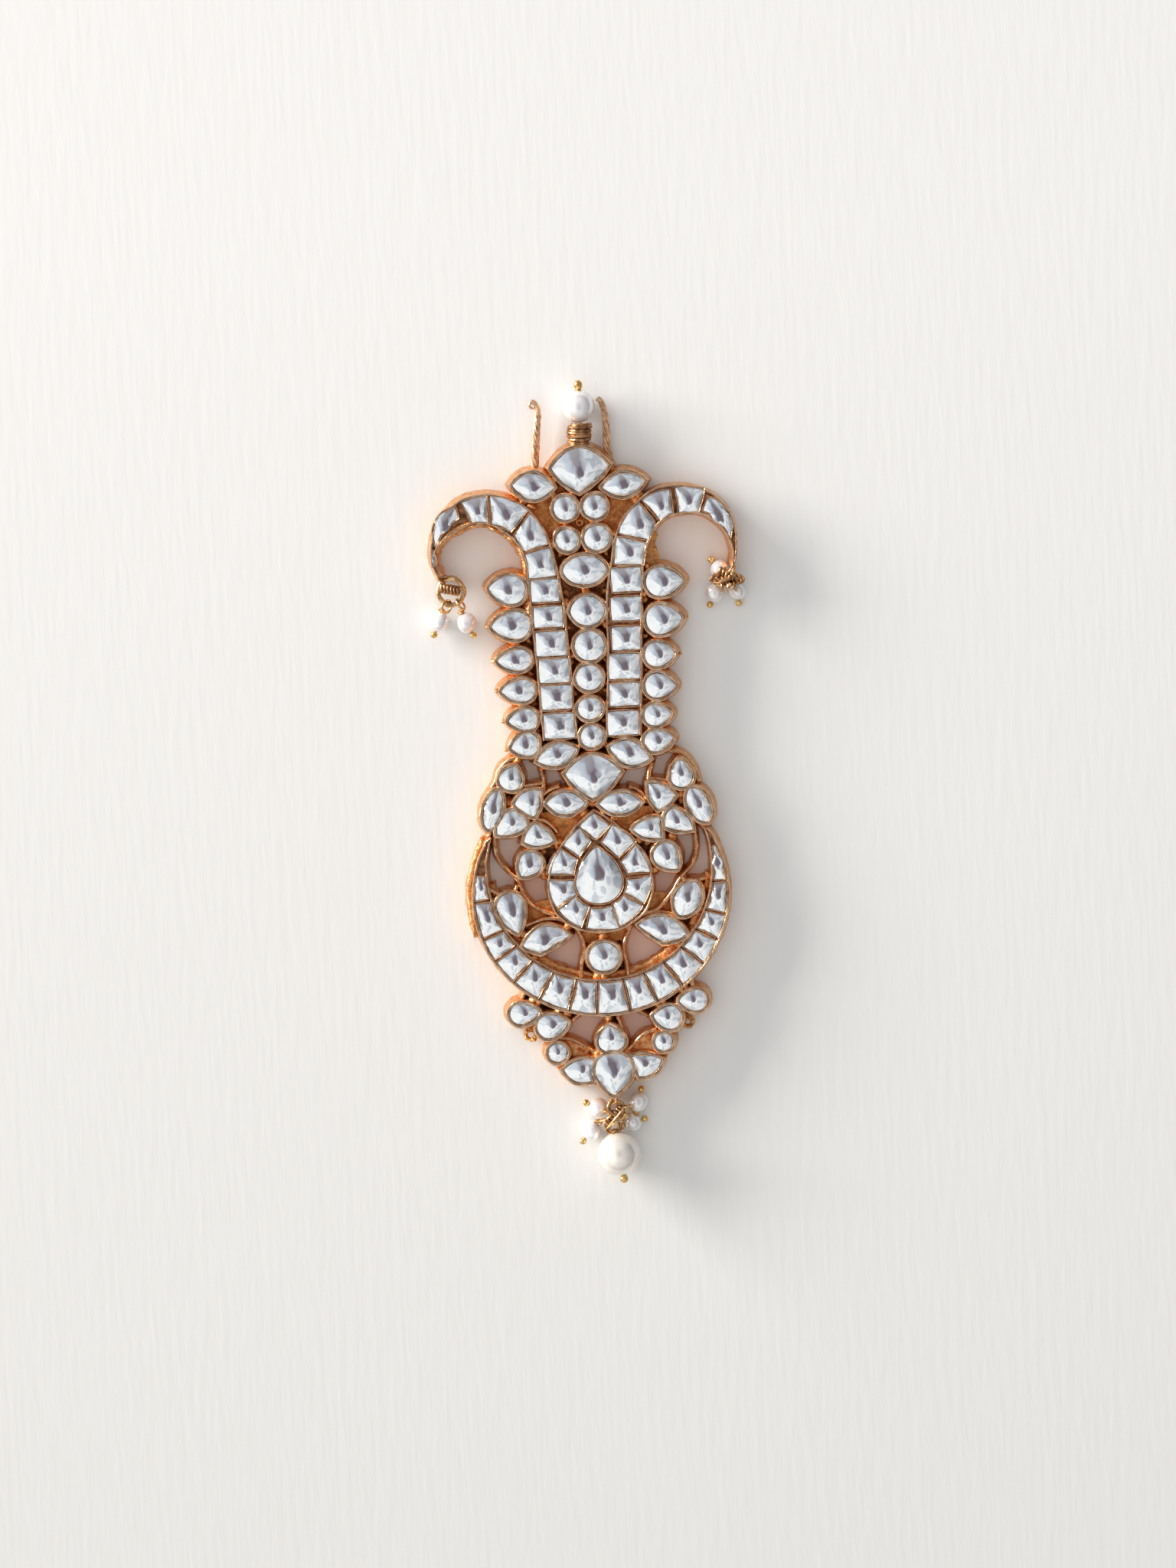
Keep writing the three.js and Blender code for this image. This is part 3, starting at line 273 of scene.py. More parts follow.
HALO_STONES = (
    (((0.9, -5.0), (-1.7, -7.2), (1.15, -9.7), (3.7, -7.4)), (0.04, 0.04, 0.04, 0.04)),
    (((4.45, -7.45), (8.05, -10.3), (4.9, -12.95), (2.4, -10.55)), (0.08, 0.02, 0.03, 0.02)),
    (((8.5, -11.3), (10.8, -15.95), (6.5, -16.1), (5.65, -14.4)), (0.1, 0.0, -0.02, 0.0)),
    (((10.8, -17.15), (9.35, -21.6), (5.9, -19.45), (6.35, -17.65)), (0.08, 0.0, -0.05, 0.0)),
    (((8.75, -22.55), (4.8, -25.7), (3.85, -21.6), (5.4, -20.4)), (0.08, 0.0, -0.05, 0.0)),
    (((4.3, -26.2), (-1.0, -25.9), (-0.15, -22.3), (3.1, -22.1)), (0.06, 0.0, -0.04, 0.0)),
    (((-2.55, -25.45), (-6.05, -22.55), (-2.9, -20.15), (-1.0, -21.85)), (0.08, 0.0, -0.05, 0.0)),
    (((-6.65, -21.6), (-7.85, -17.0), (-3.3, -17.4), (-3.0, -19.45)), (0.08, 0.0, -0.02, 0.0)),
    (((-7.85, -15.35), (-5.55, -11.4), (-2.55, -13.55), (-3.15, -15.7)), (0.1, 0.0, -0.02, 0.0)),
    (((-4.6, -10.3), (-1.95, -7.8), (-0.05, -10.3), (-1.85, -12.5)), (0.06, 0.02, 0.0, 0.0)),
)
LEFT_CELLS = (
    # x, y, width, height
    (-4.4, 11.3, 5.6, 4.4),
    (-4.7, 16.5, 5.6, 4.3),
    (-4.85, 21.4, 5.4, 4.3),
    (-5.2, 26.35, 5.4, 4.4),
    (-5.4, 31.25, 5.2, 3.7),
    (-5.75, 36.05, 5.0, 4.0),
)
RIGHT_CELLS = (
    (7.2, 11.2, 5.6, 4.3),
    (7.7, 16.45, 5.4, 4.1),
    (7.9, 21.5, 5.6, 4.5),
    (8.55, 26.65, 5.2, 4.2),
    (8.8, 32.05, 5.4, 4.2),
    (9.1, 37.3, 5.4, 4.3),
)
LEFT_TRACK = (
    # its outer rail, then its inner rail
    ((-1.35, 8.8), (-1.85, 25), (-2.5, 35), (-3.9, 43.2), (-5.7, 48.2), (-9, 51.9), (-15, 54.2), (-21, 53),
     (-25.4, 47.9), (-26.25, 42.6), (-25.0, 39.0)),
    ((-7.55, 8.8), (-8.2, 25), (-8.75, 36), (-9.3, 42.75), (-11.7, 46.2), (-16.8, 48.9), (-22.2, 47.1),
     (-25.0, 44.4), (-25.3, 42), (-24.5, 39.6)),
)
RIGHT_TRACK = (
    ((3.85, 8.8), (4.95, 24), (5.3, 35), (6.35, 40.5), (7.25, 45), (10.4, 50.1), (14.6, 53.5), (20.5, 54),
     (25.5, 52.2), (28.9, 47.8), (29.6, 42.5), (28.9, 38.6)),
    ((10.5, 8.8), (11.2, 21), (12, 35), (12.8, 41.7), (15.5, 47.1), (18.8, 48.6), (23.3, 48.45),
     (26.9, 45.75), (28.6, 41.8), (28.2, 38.8)),
)
RIGHT_FLARES = (0.3, 1.3)  # the right hook leans out over its outer wall, so its inner wall shows more
HALO = ("pear", 1.45, -15.6, 22.7, 19.4, 92)
CRESCENT_OUTER = (1.5, -20, 23.5, 22.3)  # middle and radii
CRESCENT_INNER = (1.5, -15, 20.4, 20.4)
CRESCENT_HUB = (1.5, -18.2)
# The bars between its stones, in degrees round its hub.
CRESCENT_BARS = (
    172, 185, 202.2, 213.2, 225.5, 239, 253, 265.5, 280.5, 293.2, 306.3, 319.7, 332.2, 344, 359, 377
)
CRESCENT_HORNS = 26.7  # how far past level its two horns reach, in degrees
BAR_HALF = 0.3
HORN_RIM = 0.9  # width of the rough gold outside the left horn
INNER_LEDGE = 1.1
HORN_POINT = 0.25  # how much of its width each horn keeps at its tip
CRESCENT_STEPS = 80  # points along its edges
BAR_REACHES = (23, 18)  # from the hub to the outer and the inner ends of the bars between its stones
HOOK_SOLDER, HOOK_SOLDER_OUT, SHELF_WIDTH = 0.7, 0.3, 1.0
BOSS_AT = (1.15, 48.0)
BOSS_RING, BOSS_RING_Z = (0.55, 0.5, 0.2), 3.3  # radii and wire
BOSS_TOP, BOSS_RADIUS = 3.2, 0.4
# The points along each edge or rail that the rough gold follows.
HORN_SPAN, LEDGE_SPAN, HOOK_SPAN, HOOK_POINTS = slice(1, 17), slice(8, -8), slice(44, None), 120
HOOK_SHELF = ((-18.6, 48.75), (-20.6, 48.2), (-22.7, 47.0), (-24.3, 45.3), (-25.2, 43.9))
BAR_SPREAD = 0.3  # how much closer to each other the halo's stones stand

RIBS = (
    ((-8.2, 3.6), (-7.85, 1.45), (-7.95, -0.6)),
    ((-11.4, 0.55), (-8.0, 0.95)),
    ((12.1, 3.7), (11.4, 1.7), (11.15, -0.4)),
    ((11.3, 0.85), (14.6, 0.3)),
    ((-12.4, 5.9), (-14.3, 5.2), (-15.9, 3.6), (-16.7, 1.4), (-17.4, 0.4)),
    ((14.9, 5.8), (17.2, 5.3), (18.9, 3.8), (19.9, 1.8), (20.4, -0.2)),
    ((-17.3, -8.6), (-16.95, -12.2), (-15.5, -14.4), (-13.4, -16.6), (-12.6, -19.4), (-10.7, -21.6),
     (-7.0, -23.4)),
    ((19.3, -8.9), (19.3, -12.7), (18.5, -15.1), (16.4, -17.4), (14.4, -20.4), (12, -22.8), (8.8, -24.2)),
    ((-3.3, -25.8), (-2.3, -28), (-2, -30.1), (-2.6, -32.6), (-2.8, -34.9)),
    ((6.7, -25.8), (5.5, -28.5), (5.25, -30.3), (5.5, -32.6), (5.7, -34.9)),
    ((-12.6, -25.0), (-8.8, -23.9), (-5.2, -24.5), (-2.6, -26.6)),
    ((15.4, -24.6), (12, -23.6), (8.4, -24.0), (5.6, -26.4)),
    ((-18.4, -8.4), (-17.9, -6.9)),
    ((21.0, -8.8), (20.2, -7.8)),
    ((-17.2, -18.9), (-19.0, -17.9)),
    ((18.6, -18.3), (20.9, -18.0)),
    ((-13.7, -17.6), (-14.2, -19.2)),
    ((16.2, -17.2), (17.6, -18.9)),
    ((-7.4, -45.9), (-4.7, -46.5), (-0.8, -49.0)),
    ((10.4, -45.2), (7.9, -46.05), (5.2, -48.6)),
    ((-4.9, -42.9), (-3.3, -41.6)),
    ((8.9, -42.6), (7.0, -41.4)),
    ((3.2, -41.8), (4.25, -44.8)),
    ((1.5, -41.8), (1.6, -44.2)),
    ((-13.9, -38.6), (-13.2, -37.0)),
    ((17.5, -38.0), (16.8, -36.0)),
    ((-10.0, -5.3), (-8.0, -6.0), (-6.5, -7.2), (-5.8, -8.3)),
    ((7.6, -0.5), (9.0, -1.0), (10.4, -2.6)),
    ((-8.0, -1.2), (-6.5, -0.2), (-5.0, 0.3)),
)
# Recessed sheets: height, corners.
GRAINED_PLATES = (
    (2.7, ((-5.6, 43.0), (8.6, 43.0), (9.0, 48.6), (13.5, 54), (1.4, 57), (-11, 54), (-6, 48.6))),
    (2.8, ((-9.4, -4.6), (-0.6, -4.6), (-1.2, -7.4), (-5.2, -11), (-9.6, -11))),
    (2.8, ((2.2, -4.6), (11.6, -4.2), (12.0, -8.4), (8.6, -10.4), (4.6, -7.8))),
    (2.6, ((-4.6, -24.6), (7.2, -24.6), (5.6, -28.8), (-2.4, -28.8))),
    (2.7, ((-13.6, -21.4), (-7.2, -20.4), (-3.8, -25.2), (-12.4, -25.6))),
    (2.7, ((16.2, -20.4), (10.2, -20.2), (6.6, -25.2), (15.0, -25.4))),
    (3.6, ((12.3, 38.0), (15.6, 39.2), (15.3, 41.4), (14.6, 43.5), (15.2, 45.2), (14.6, 46.2), (12.6, 42.0))),
)
LEAF_PLATES = (
    (3.1, ((-6.4, -46.6), (-4.2, -46.3), (-0.9, -48.9), (-1.5, -50.4), (-6.2, -50.9))),
    (3.1, ((10.2, -45.8), (7.7, -45.9), (5.1, -48.6), (5.6, -50.2), (10.2, -50.0))),
)
# Dark sheets low in the gaps between settings, whose dark gold is painted shade of these deep pockets, with
# some tarnish.
DARK_PLATES = (
    (1.5, ((-1.6, 8.2), (4.2, 8.2), (5.4, 35), (7.4, 43.2), (-4.2, 43.2), (-2.7, 35))),
    (1.2, ((-5.6, -10.4), (-10.4, -10.4), (-9.2, -14.0), (-7.8, -14.4))),
    (1.2, ((9.2, -10.2), (12.6, -9.8), (11.4, -13.6), (10.2, -13.0))),
    (1.1, ((-3.9, 8.9), (-3.9, 2.4), (6.6, 2.4), (6.6, 8.9))),
    (1.2, ((-2.0, -1.4), (3.9, -1.4), (1.4, -6.4))),
    (1.2, ((-9.5, 7.5), (-7.7, 7.5), (-8.6, 39.5), (-10.6, 39.5))),
    (1.2, ((10.6, 7.0), (12.4, 7.0), (13.9, 39.0), (12.0, 39.0))),
    (1.2, ((-14.9, -0.4), (-8.8, -0.4), (-8.8, -6.4), (-16.4, -6.4))),
    (1.2, ((11.4, 0.2), (18.6, 0.2), (18.6, -6.8), (11.4, -6.8))),
    (1.2, ((-17.0, -18.6), (-13.0, -25.6), (-12.6, -28.4), (-17.0, -27.0))),
)
# Small gold tabs that stand in the dark gaps between settings: x, y, height.
TABS = (
    (-8.5, -11.6, 3.4), (10.5, -11.1, 3.3), (16.7, -2.3, 3.9), (17.1, -3.6, 3.6), (-14.2, -1.9, 3.2),
    (-1.9, 29, 3.4), (4.9, 29.1, 3.2), (-1.6, 22.6, 3.3), (4.6, 22.9, 3.5), (-1.5, 17, 3.1), (4.1, 17.2, 3.3),
    (-1.4, 11.7, 3), (3.9, 11.8, 3.2), (-1.9, 35.4, 3.4), (5.1, 35.3, 3.2), (-2.6, 42.4, 3.2),
    (5.6, 42.2, 3.4),
    (-9.2, 33.4, 3.3), (-9.3, 27.0, 3.4), (-9.2, 20.9, 3.2), (-8.8, 15.4, 3.1), (-8.4, 10.5, 3.3),
    (12.4, 33.3, 3.4), (12.1, 26.7, 3.2), (11.7, 20.6, 3.3), (11.4, 15.0, 3.1), (11.2, 10.1, 3.3),
)
PRONGS = (
    # radius of the twist at its thickest, and its line, with the end bent over
    (0.72, ((-6.6, 55.0), (-6.4, 58.2), (-6.05, 62.0), (-5.7, 65.5), (-5.35, 68.0), (-5.5, 69.3),
            (-6.0, 70.1), (-6.45, 70.25))),
    (0.74, ((7.6, 54.5), (7.3, 57.6), (6.95, 61.5), (6.85, 65.5), (6.6, 68.3), (6.1, 69.8), (5.55, 70.35))),
)
PRONG_STRANDS = 5
PRONG_PITCH = 7.0
PRONG_Z = 2.0
PRONG_THIN, PRONG_PEAK = 0.62, 1.15  # thickness at its foot, of its thickest, and how early that comes
STRAND_LIE, STRAND_SHARE = 0.58, 0.48  # how far out a strand lies, and its radius, of the twist's
STRAND_TAPER = 0.75
PRONG_LOOP_AT = (-6.35, 69.75, PRONG_Z + 0.2)
# The dark stand by the camera, in metres: how far it reaches to each side along itself, and its tints across.
STAND_SIZE, STAND_HEIGHT, STAND_SOFT, STAND_LEAN = 2.4, 0.62, 0.02, 17
STAND_HALF = (
    (-0.28, 0.07), (-0.15, 0.16), (-0.05, 0.21), (0.06, 0.26), (0.16, 0.31), (0.4, 0.3), (0.9, 0.24)
)
STAND_TINTS = ((-0.34, (0.72, 0.76, 0.81)), (-0.14, (0.44, 0.47, 0.54)), (-0.07, (0.19, 0.155, 0.175)),
               (0.13, (0.15, 0.115, 0.13)), (0.19, (0.36, 0.35, 0.39)), (0.34, (0.6, 0.63, 0.68)))
STAND_FADE = ((-0.28, 0.0), (-0.22, 0.8), (-0.16, 1.0), (0.15, 1.0), (0.35, 0.75), (0.9, 0.45))
# The room's tints: towards the far side, towards the right, up from the horizon, and of the things in it.
ROOM_AWAY = ((0.0, (1.0, 0.99, 0.97)), (0.4, (0.95, 0.94, 0.93)), (1.0, (0.64, 0.66, 0.69)))
ROOM_RIGHT = ((0.5, (1.0, 1.0, 1.0)), (0.7, (0.82, 0.82, 0.83)), (1.0, (0.3, 0.3, 0.31)))
ROOM_HIGH = ((0.12, (0.36, 0.36, 0.37)), (0.7, (1.0, 1.0, 1.0)))
ROOM_CLUTTER = ((0.36, (0.66, 0.69, 0.73)), (0.43, (1.0, 1.0, 1.0)))
ROOM_LIGHT = 0.96
WINDOW = {"size": (2.0, 0.75), "watts": 142.0, "tint": (1.0, 0.97, 0.93), "at": (-2.5, 1.25, 0.61)}
CAMERA = {
    "lens": 200, "sensor": 36, "clip": (0.01, 20),
    "target": (0.23, 0.46, RIM_HEIGHT), "distance": 1.585, "elevation": 84.5, "lean": 2.97,
}
BOARD_SIZE, BOARD_HEIGHT = 4, -0.00003
# Painted bounce light where the gold's walls warm the board: middle, reach, tint.
FLOOR_GLOWS = (
    (1.5, -19.0, 19.0, 20.0, (1.0, 0.77, 0.69)),
    (-17.5, 43.5, 9.0, 8.0, (1.0, 0.94, 0.905)),
    (20.5, 42.0, 9.5, 8.0, (1.0, 0.93, 0.9)),
    (2.0, -45.0, 9.0, 7.0, (1.0, 0.79, 0.72)),
)
LUGS = (
    # middle, radius, wire, normal, foot of its stem
    ((-24.55, 38.65, 2.6), 1.0, 0.32, (-0.77, -0.64, 0), (-25.1, 41.4, 2.6)),
    ((28.4, 37.75, 4.3), 0.95, 0.32, (-0.9, 0.42, 0), (28.9, 40.2, 4.0)),
    ((2.4, -58.1, 4.35), 0.9, 0.28, (1, 0, 0), (2.3, -56.0, 4.2)),
    ((-12.6, -45.2, 2.0), 0.95, 0.42, (0, 0, 1), (-12.4, -42.4, 2.0)),
    ((16.2, -44.3, 2.0), 0.85, 0.42, (0, 0, 1), (16.4, -41.6, 2.0)),
)
LINKS = (
    # CAD node, middle, radii, wire, normal
    ("link_left", (-22.8, 36.6, 2.6), (2.3, 2.45), 0.45, (0, 0, 1)),
    ("link_right", (27.5, 36.4, 4.3), (2.4, 1.25), 0.38, (0, 0, 1)),
    ("ring_bottom", (2.45, -59.75, 4.35), (1.6, 1.6), 0.33, (0, 0, 1)),
    ("ring_drop", (2.05, -61.6, 4.05), (1.3, 1.3), 0.32, (-0.73, 0.68, 0)),
)
COILS = (
    # from, to, radius, wire, turns
    ((-24.6, 37.4, 3.0), (-21.1, 36.6, 3.0), 0.72, 0.3, 6),
    ((26.2, 38.1, 4.2), (28.5, 36.5, 4.6), 0.72, 0.32, 4),
    ((0.4, -62.0, 4.4), (3.6, -58.8, 4.6), 0.6, 0.26, 7),
)
KNOTS = (
    # middle, radius, number of loops wound through one another
    ((25.5, 36.5, 4.3), 0.95, 6),
    ((29.3, 36.3, 4.3), 0.95, 6),
    ((27.4, 35.7, 4.4), 0.8, 5),
)
KNOT_WIRE = 0.27
KNOT_TURN = 2.4  # from each loop's tilt to the next one's
KNOT_SPREAD, KNOT_LIFT = 0.35, 0.4  # how far from its middle its loops stand, of its radius, and up or down
KNOT_TILT = (0.9, 1.1)  # how far its loops lean along Y, and how far they stand up, of their lean along X
KNOT_LONG, KNOT_SHORT, KNOT_VARY = 0.75, 0.55, 0.1  # its loops' radii, of its own, and how much more some have
COIL_STEPS = 16  # points in each turn
CLAWS = (
    # line, wire
    (((0.6, -62.9, 4.7), (1.9, -61.4, 5.3), (3.4, -59.7, 5.2), (3.9, -58.8, 4.6)), 0.36),
    (((0.0, -62.2, 4.3), (0.5, -63.4, 4.7), (1.7, -63.9, 4.8), (2.8, -63.2, 4.6), (2.9, -61.9, 4.3)), 0.3),
    (((1.6, -57.6, 4.6), (0.9, -58.8, 5.0), (1.6, -60.2, 5.2), (3.0, -60.4, 5.0), (3.7, -59.2, 4.8)), 0.32),
    (((-1.8, -61.7, 3.4), (-0.4, -61.6, 4.0), (0.9, -61.2, 4.5)), 0.34),
    (((2.0, -63.2, 4.4), (2.15, -64.4, 4.3)), 0.42),
    (((28.9, 40.4, 4.2), (28.6, 38.8, 4.9), (27.6, 37.6, 5.1), (26.9, 37.9, 4.8)), 0.34),
    (((25.0, 37.4, 4.1), (26.0, 36.3, 5.0), (27.4, 36.4, 5.2), (28.4, 37.4, 4.9)), 0.3),
    (((-25.2, 40.6, 3.2), (-24.6, 39.6, 3.4), (-23.4, 39.4, 3.2)), 0.4),
)
DROPS = (
    # name, pearl, its radius, where its ball end points, eye, its radius, its normal
    ("left_1", (-25.4, 31.2, 1.95), 1.9, (-26.2, 29.2, 1.6), (-23.77, 33.9, 2.6), 1.15, (0.66, -0.24, 0.71)),
    ("left_2", (-20.3, 30.8, 2.0), 1.95, (-19.35, 28.7, 1.8), (-21.2, 34.25, 2.6), 1.1, (0.77, 0.54, 0.34)),
    ("right_1", (25.0, 33.8, 1.7), 1.65, (24.2, 31.9, 1.2), (26.4, 35.08, 4.12), 0.9, (1, 0.1, 0)),
    ("right_2", (29.2, 33.9, 1.65), 1.6, (29.4, 31.9, 1.1), (28.7, 35.12, 4.12), 0.9, (1, 0.25, 0)),
    ("right_3", (26.2, 38.1, 1.75), 1.7, (24.95, 39.6, 1.3), (27.55, 34.95, 4.12), 0.9, (1, 0, 0)),
    ("bottom_1", (-0.85, -59.35, 1.85), 1.8, (-2.7, -58.55, 1.75), (0.65, -59.75, 4.2), 0.8, (0, 1, 0)),
    ("bottom_2", (-2.4, -63.5, 1.9), 1.85, (-3.8, -65.05, 1.75), (0.98, -60.78, 4.2), 0.8, (-0.57, 0.82, 0)),
    ("bottom_3", (6.4, -58.75, 1.85), 1.8, (7.0, -56.65, 1.75), (4.14, -59.13, 4.2), 0.8, (-0.34, 0.94, 0)),
    ("bottom_4", (5.15, -62.45, 1.75), 1.7, (7.05, -61.95, 1.65), (4.08, -60.51, 4.2), 0.8, (0.42, 0.91, 0)),
    ("large", (2.4, -67.75, 4.05), 4.0, (3.1, -72.5, 3.9), (1.6, -62.62, 3.75), 0.95, (0, 0, 1)),
)


# ---------------------------------------------------------------- places and outlines
def layout_shift():
    """How far the layout's origin is from the frame's, found from the finial pearl."""
    low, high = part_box("finial_pearl")
    middle = (low + high) / 2 / MM
    return middle.x - FINIAL["x"], middle.y - FINIAL["y"]


SHIFT_X, SHIFT_Y = layout_shift()


def place(x, y, z):
    return Vector(((x + SHIFT_X) * MM, (y + SHIFT_Y) * MM, z * MM))


def cut_outline(cut, x, y, length, width, turn, sides=STEPS_ROUND):
    """The outline of a round, oval, pear or marquise stone, counter-clockwise from its tip."""
    tip, tail = CUTS[cut]

    def side(a):
        return math.sin(a) * abs(math.sin(a / 2)) ** tip * abs(math.cos(a / 2)) ** tail

    widest = max(side(math.pi * i / WIDTH_STEPS) for i in range(WIDTH_STEPS + 1))
    cos, sin = math.cos(math.radians(turn)), math.sin(math.radians(turn))
    points = []
    for i in range(sides):
        a = 2 * math.pi * i / sides
        u, v = math.cos(a) * length / 2, side(a) / widest / 2 * width
        points.append((x + u * cos - v * sin, y + u * sin + v * cos))
    return points


def signed_area(points):
    return sum(a[0] * b[1] - b[0] * a[1] for a, b in zip(points, [*points[1:], points[0]])) / 2


def corner_outline(corners, rise, sides=STEPS_ROUND):
    """The outline through some corners, each side rising outwards as a shallow arc."""
    outwards = 1 if signed_area(corners) > 0 else -1
    per_side = sides // len(corners)
    points = []
    for i, (ax, ay) in enumerate(corners):
        bx, by = corners[(i + 1) % len(corners)]
        for k in range(per_side):
            t = k / per_side
            lift = 4 * rise[i] * t * (1 - t) * outwards
            points.append((ax + (bx - ax) * t + (by - ay) * lift, ay + (by - ay) * t - (bx - ax) * lift))
    return points if outwards > 0 else points[::-1]


def cell_outline(x, y, width, height):
    w, h = width / 2, height / 2
    corners = ((x - w, y - h), (x + w, y - h), (x + w, y + h), (x - w, y + h))
    return corner_outline(corners, (CELL_RISE,) * 4)


def grown(points, distance):
    """An outline moved outwards by a distance, with its corners mitred."""
    moved = []
    for i, (x, y) in enumerate(points):
        px, py = points[i - 1]
        nx, ny = points[(i + 1) % len(points)]
        a = Vector((y - py, px - x)).normalized()
        b = Vector((ny - y, x - nx)).normalized()
        out = (a + b) / 2 / max(MITRE, (1 + a.dot(b)) / 2) * distance
        moved.append((x + out.x, y + out.y))
    return moved


def middle_of(points):
    return sum(p[0] for p in points) / len(points), sum(p[1] for p in points) / len(points)


def shrunk(points, share):
    cx, cy = middle_of(points)
    return [(cx + (x - cx) * share, cy + (y - cy) * share) for x, y in points]


def smooth_line(points, steps):
    """A smooth line through some points, with a few steps between each two."""
    line = [Vector(p) for p in points]
    line = [2 * line[0] - line[1], *line, 2 * line[-1] - line[-2]]
    made = []
    for p0, p1, p2, p3 in zip(line, line[1:], line[2:], line[3:]):
        t1 = math.sqrt((p1 - p0).length)
        t2 = t1 + math.sqrt((p2 - p1).length)
        t3 = t2 + math.sqrt((p3 - p2).length)
        for k in range(steps):
            t = t1 + (t2 - t1) * k / steps
            a1 = p0.lerp(p1, t / t1)
            a2 = p1.lerp(p2, (t - t1) / (t2 - t1))
            a3 = p2.lerp(p3, (t - t2) / (t3 - t2))
            b1 = a1.lerp(a2, t / t2)
            b2 = a2.lerp(a3, (t - t1) / (t3 - t1))
            made.append(b1.lerp(b2, (t - t1) / (t2 - t1)))
    return [tuple(p) for p in [*made, line[-2]]]


def strip_outline(points, width):
    """The outline of a band of even width along a line."""
    left, right = [], []
    for i, (x, y) in enumerate(points):
        ax, ay = points[max(0, i - 1)]
        bx, by = points[min(len(points) - 1, i + 1)]
        along = Vector((bx - ax, by - ay)).normalized() * width / 2
        left.append((x - along.y, y + along.x))
        right.append((x + along.y, y - along.x))
    return [*right, *left[::-1]]


def from_hub(angle, middle_x, middle_y, rx, ry):
    """Where a ray from the crescent's hub meets an ellipse."""
    hub_x, hub_y = CRESCENT_HUB
    ux, uy = math.cos(angle) / rx, math.sin(angle) / ry
    ox, oy = (hub_x - middle_x) / rx, (hub_y - middle_y) / ry
    a, b = ux * ux + uy * uy, ux * ox + uy * oy
    reach = (-b + math.sqrt(b * b - a * (ox * ox + oy * oy - 1))) / a
    return hub_x + reach * math.cos(angle), hub_y + reach * math.sin(angle)


def crescent_lines():
    """The crescent's outer and inner edges, from its left horn round to its right one."""
    start, sweep = math.radians(180 - CRESCENT_HORNS), math.radians(180 + 2 * CRESCENT_HORNS)
    angles = [start + sweep * i / CRESCENT_STEPS for i in range(CRESCENT_STEPS + 1)]
    outer = [from_hub(a, *CRESCENT_OUTER) for a in angles]
    inner = [from_hub(a, *CRESCENT_INNER) for a in angles]
    for end in (0, CRESCENT_STEPS):
        outer[end] = tuple(Vector(inner[end]).lerp(Vector(outer[end]), HORN_POINT))
    return outer, inner


def crescent_cells():
    cells = []
    for start, end in zip(CRESCENT_BARS, CRESCENT_BARS[1:]):
        corners = []
        for angle, way, edge, reach, inset in (
            (start, 1, CRESCENT_OUTER, BAR_REACHES[0], RIM_WIDTH),
            (end, -1, CRESCENT_OUTER, BAR_REACHES[0], RIM_WIDTH),
            (end, -1, CRESCENT_INNER, BAR_REACHES[1], -RIM_WIDTH),
            (start, 1, CRESCENT_INNER, BAR_REACHES[1], -RIM_WIDTH),
        ):
            at = Vector(from_hub(math.radians(angle) + way * BAR_HALF / reach, *edge))
            corners.append(tuple(at + (Vector(CRESCENT_HUB) - at).normalized() * inset))
        cells.append(corner_outline(corners, CRESCENT_RISES))
    return cells


# ---------------------------------------------------------------- making meshes
def at_height(outline, z):
    return [place(x, y, z) for x, y in outline]


def new_run(bm, spots):
    """A closed run of edges through some spots."""
    run = [bm.verts.new(spot) for spot in spots]
    for a, b in zip(run, run[1:] + run[:1]):
        bm.edges.new((a, b))
    return run


def edges_of(bm, run):
    return [bm.edges.get((a, b)) for a, b in zip(run, run[1:] + run[:1])]


def drawn(bm, run, spots, finish=WALL):
    """Draws a closed run out to other spots, and returns the new run."""
    made = bmesh.ops.extrude_edge_only(bm, edges=edges_of(bm, run))["geom"]
    at = {v.co.to_tuple(9): v for v in made if isinstance(v, bmesh.types.BMVert)}
    new = [at[v.co.to_tuple(9)] for v in run]
    for v in new:
        for face in v.link_faces:
            face.material_index = finish
    for v, spot in zip(new, spots):
        v.co = spot
    return new


def cap(bm, run, finish=WALL):
    for face in bmesh.ops.edgeloop_fill(bm, edges=edges_of(bm, run))["faces"]:
        face.material_index = finish


def through(bm, outline, section, ends=(WALL, SEAT)):
    """A closed solid whose outline grows and shrinks with its height, as a section says."""
    offset, z, _ = section[0]
    run = new_run(bm, at_height(grown(outline, offset), z))
    cap(bm, run, ends[0])
    for offset, z, finish in section[1:]:
        run = drawn(bm, run, at_height(grown(outline, offset), z), finish)
    cap(bm, run, ends[1])


def outwards(line, side):
    """The unit normal at each point of a line, on its left (1) or its right (-1)."""
    normals = []
    for i in range(len(line)):
        along = Vector(line[min(i + 1, len(line) - 1)]) - Vector(line[max(i - 1, 0)])
        normals.append(Vector((-along.y, along.x)).normalized() * side)
    return normals


def beside(line, distance):
    """A line moved to its left by a distance, or to its right by a negative one."""
    return [tuple(Vector(at) + out * distance) for at, out in zip(line, outwards(line, 1))]


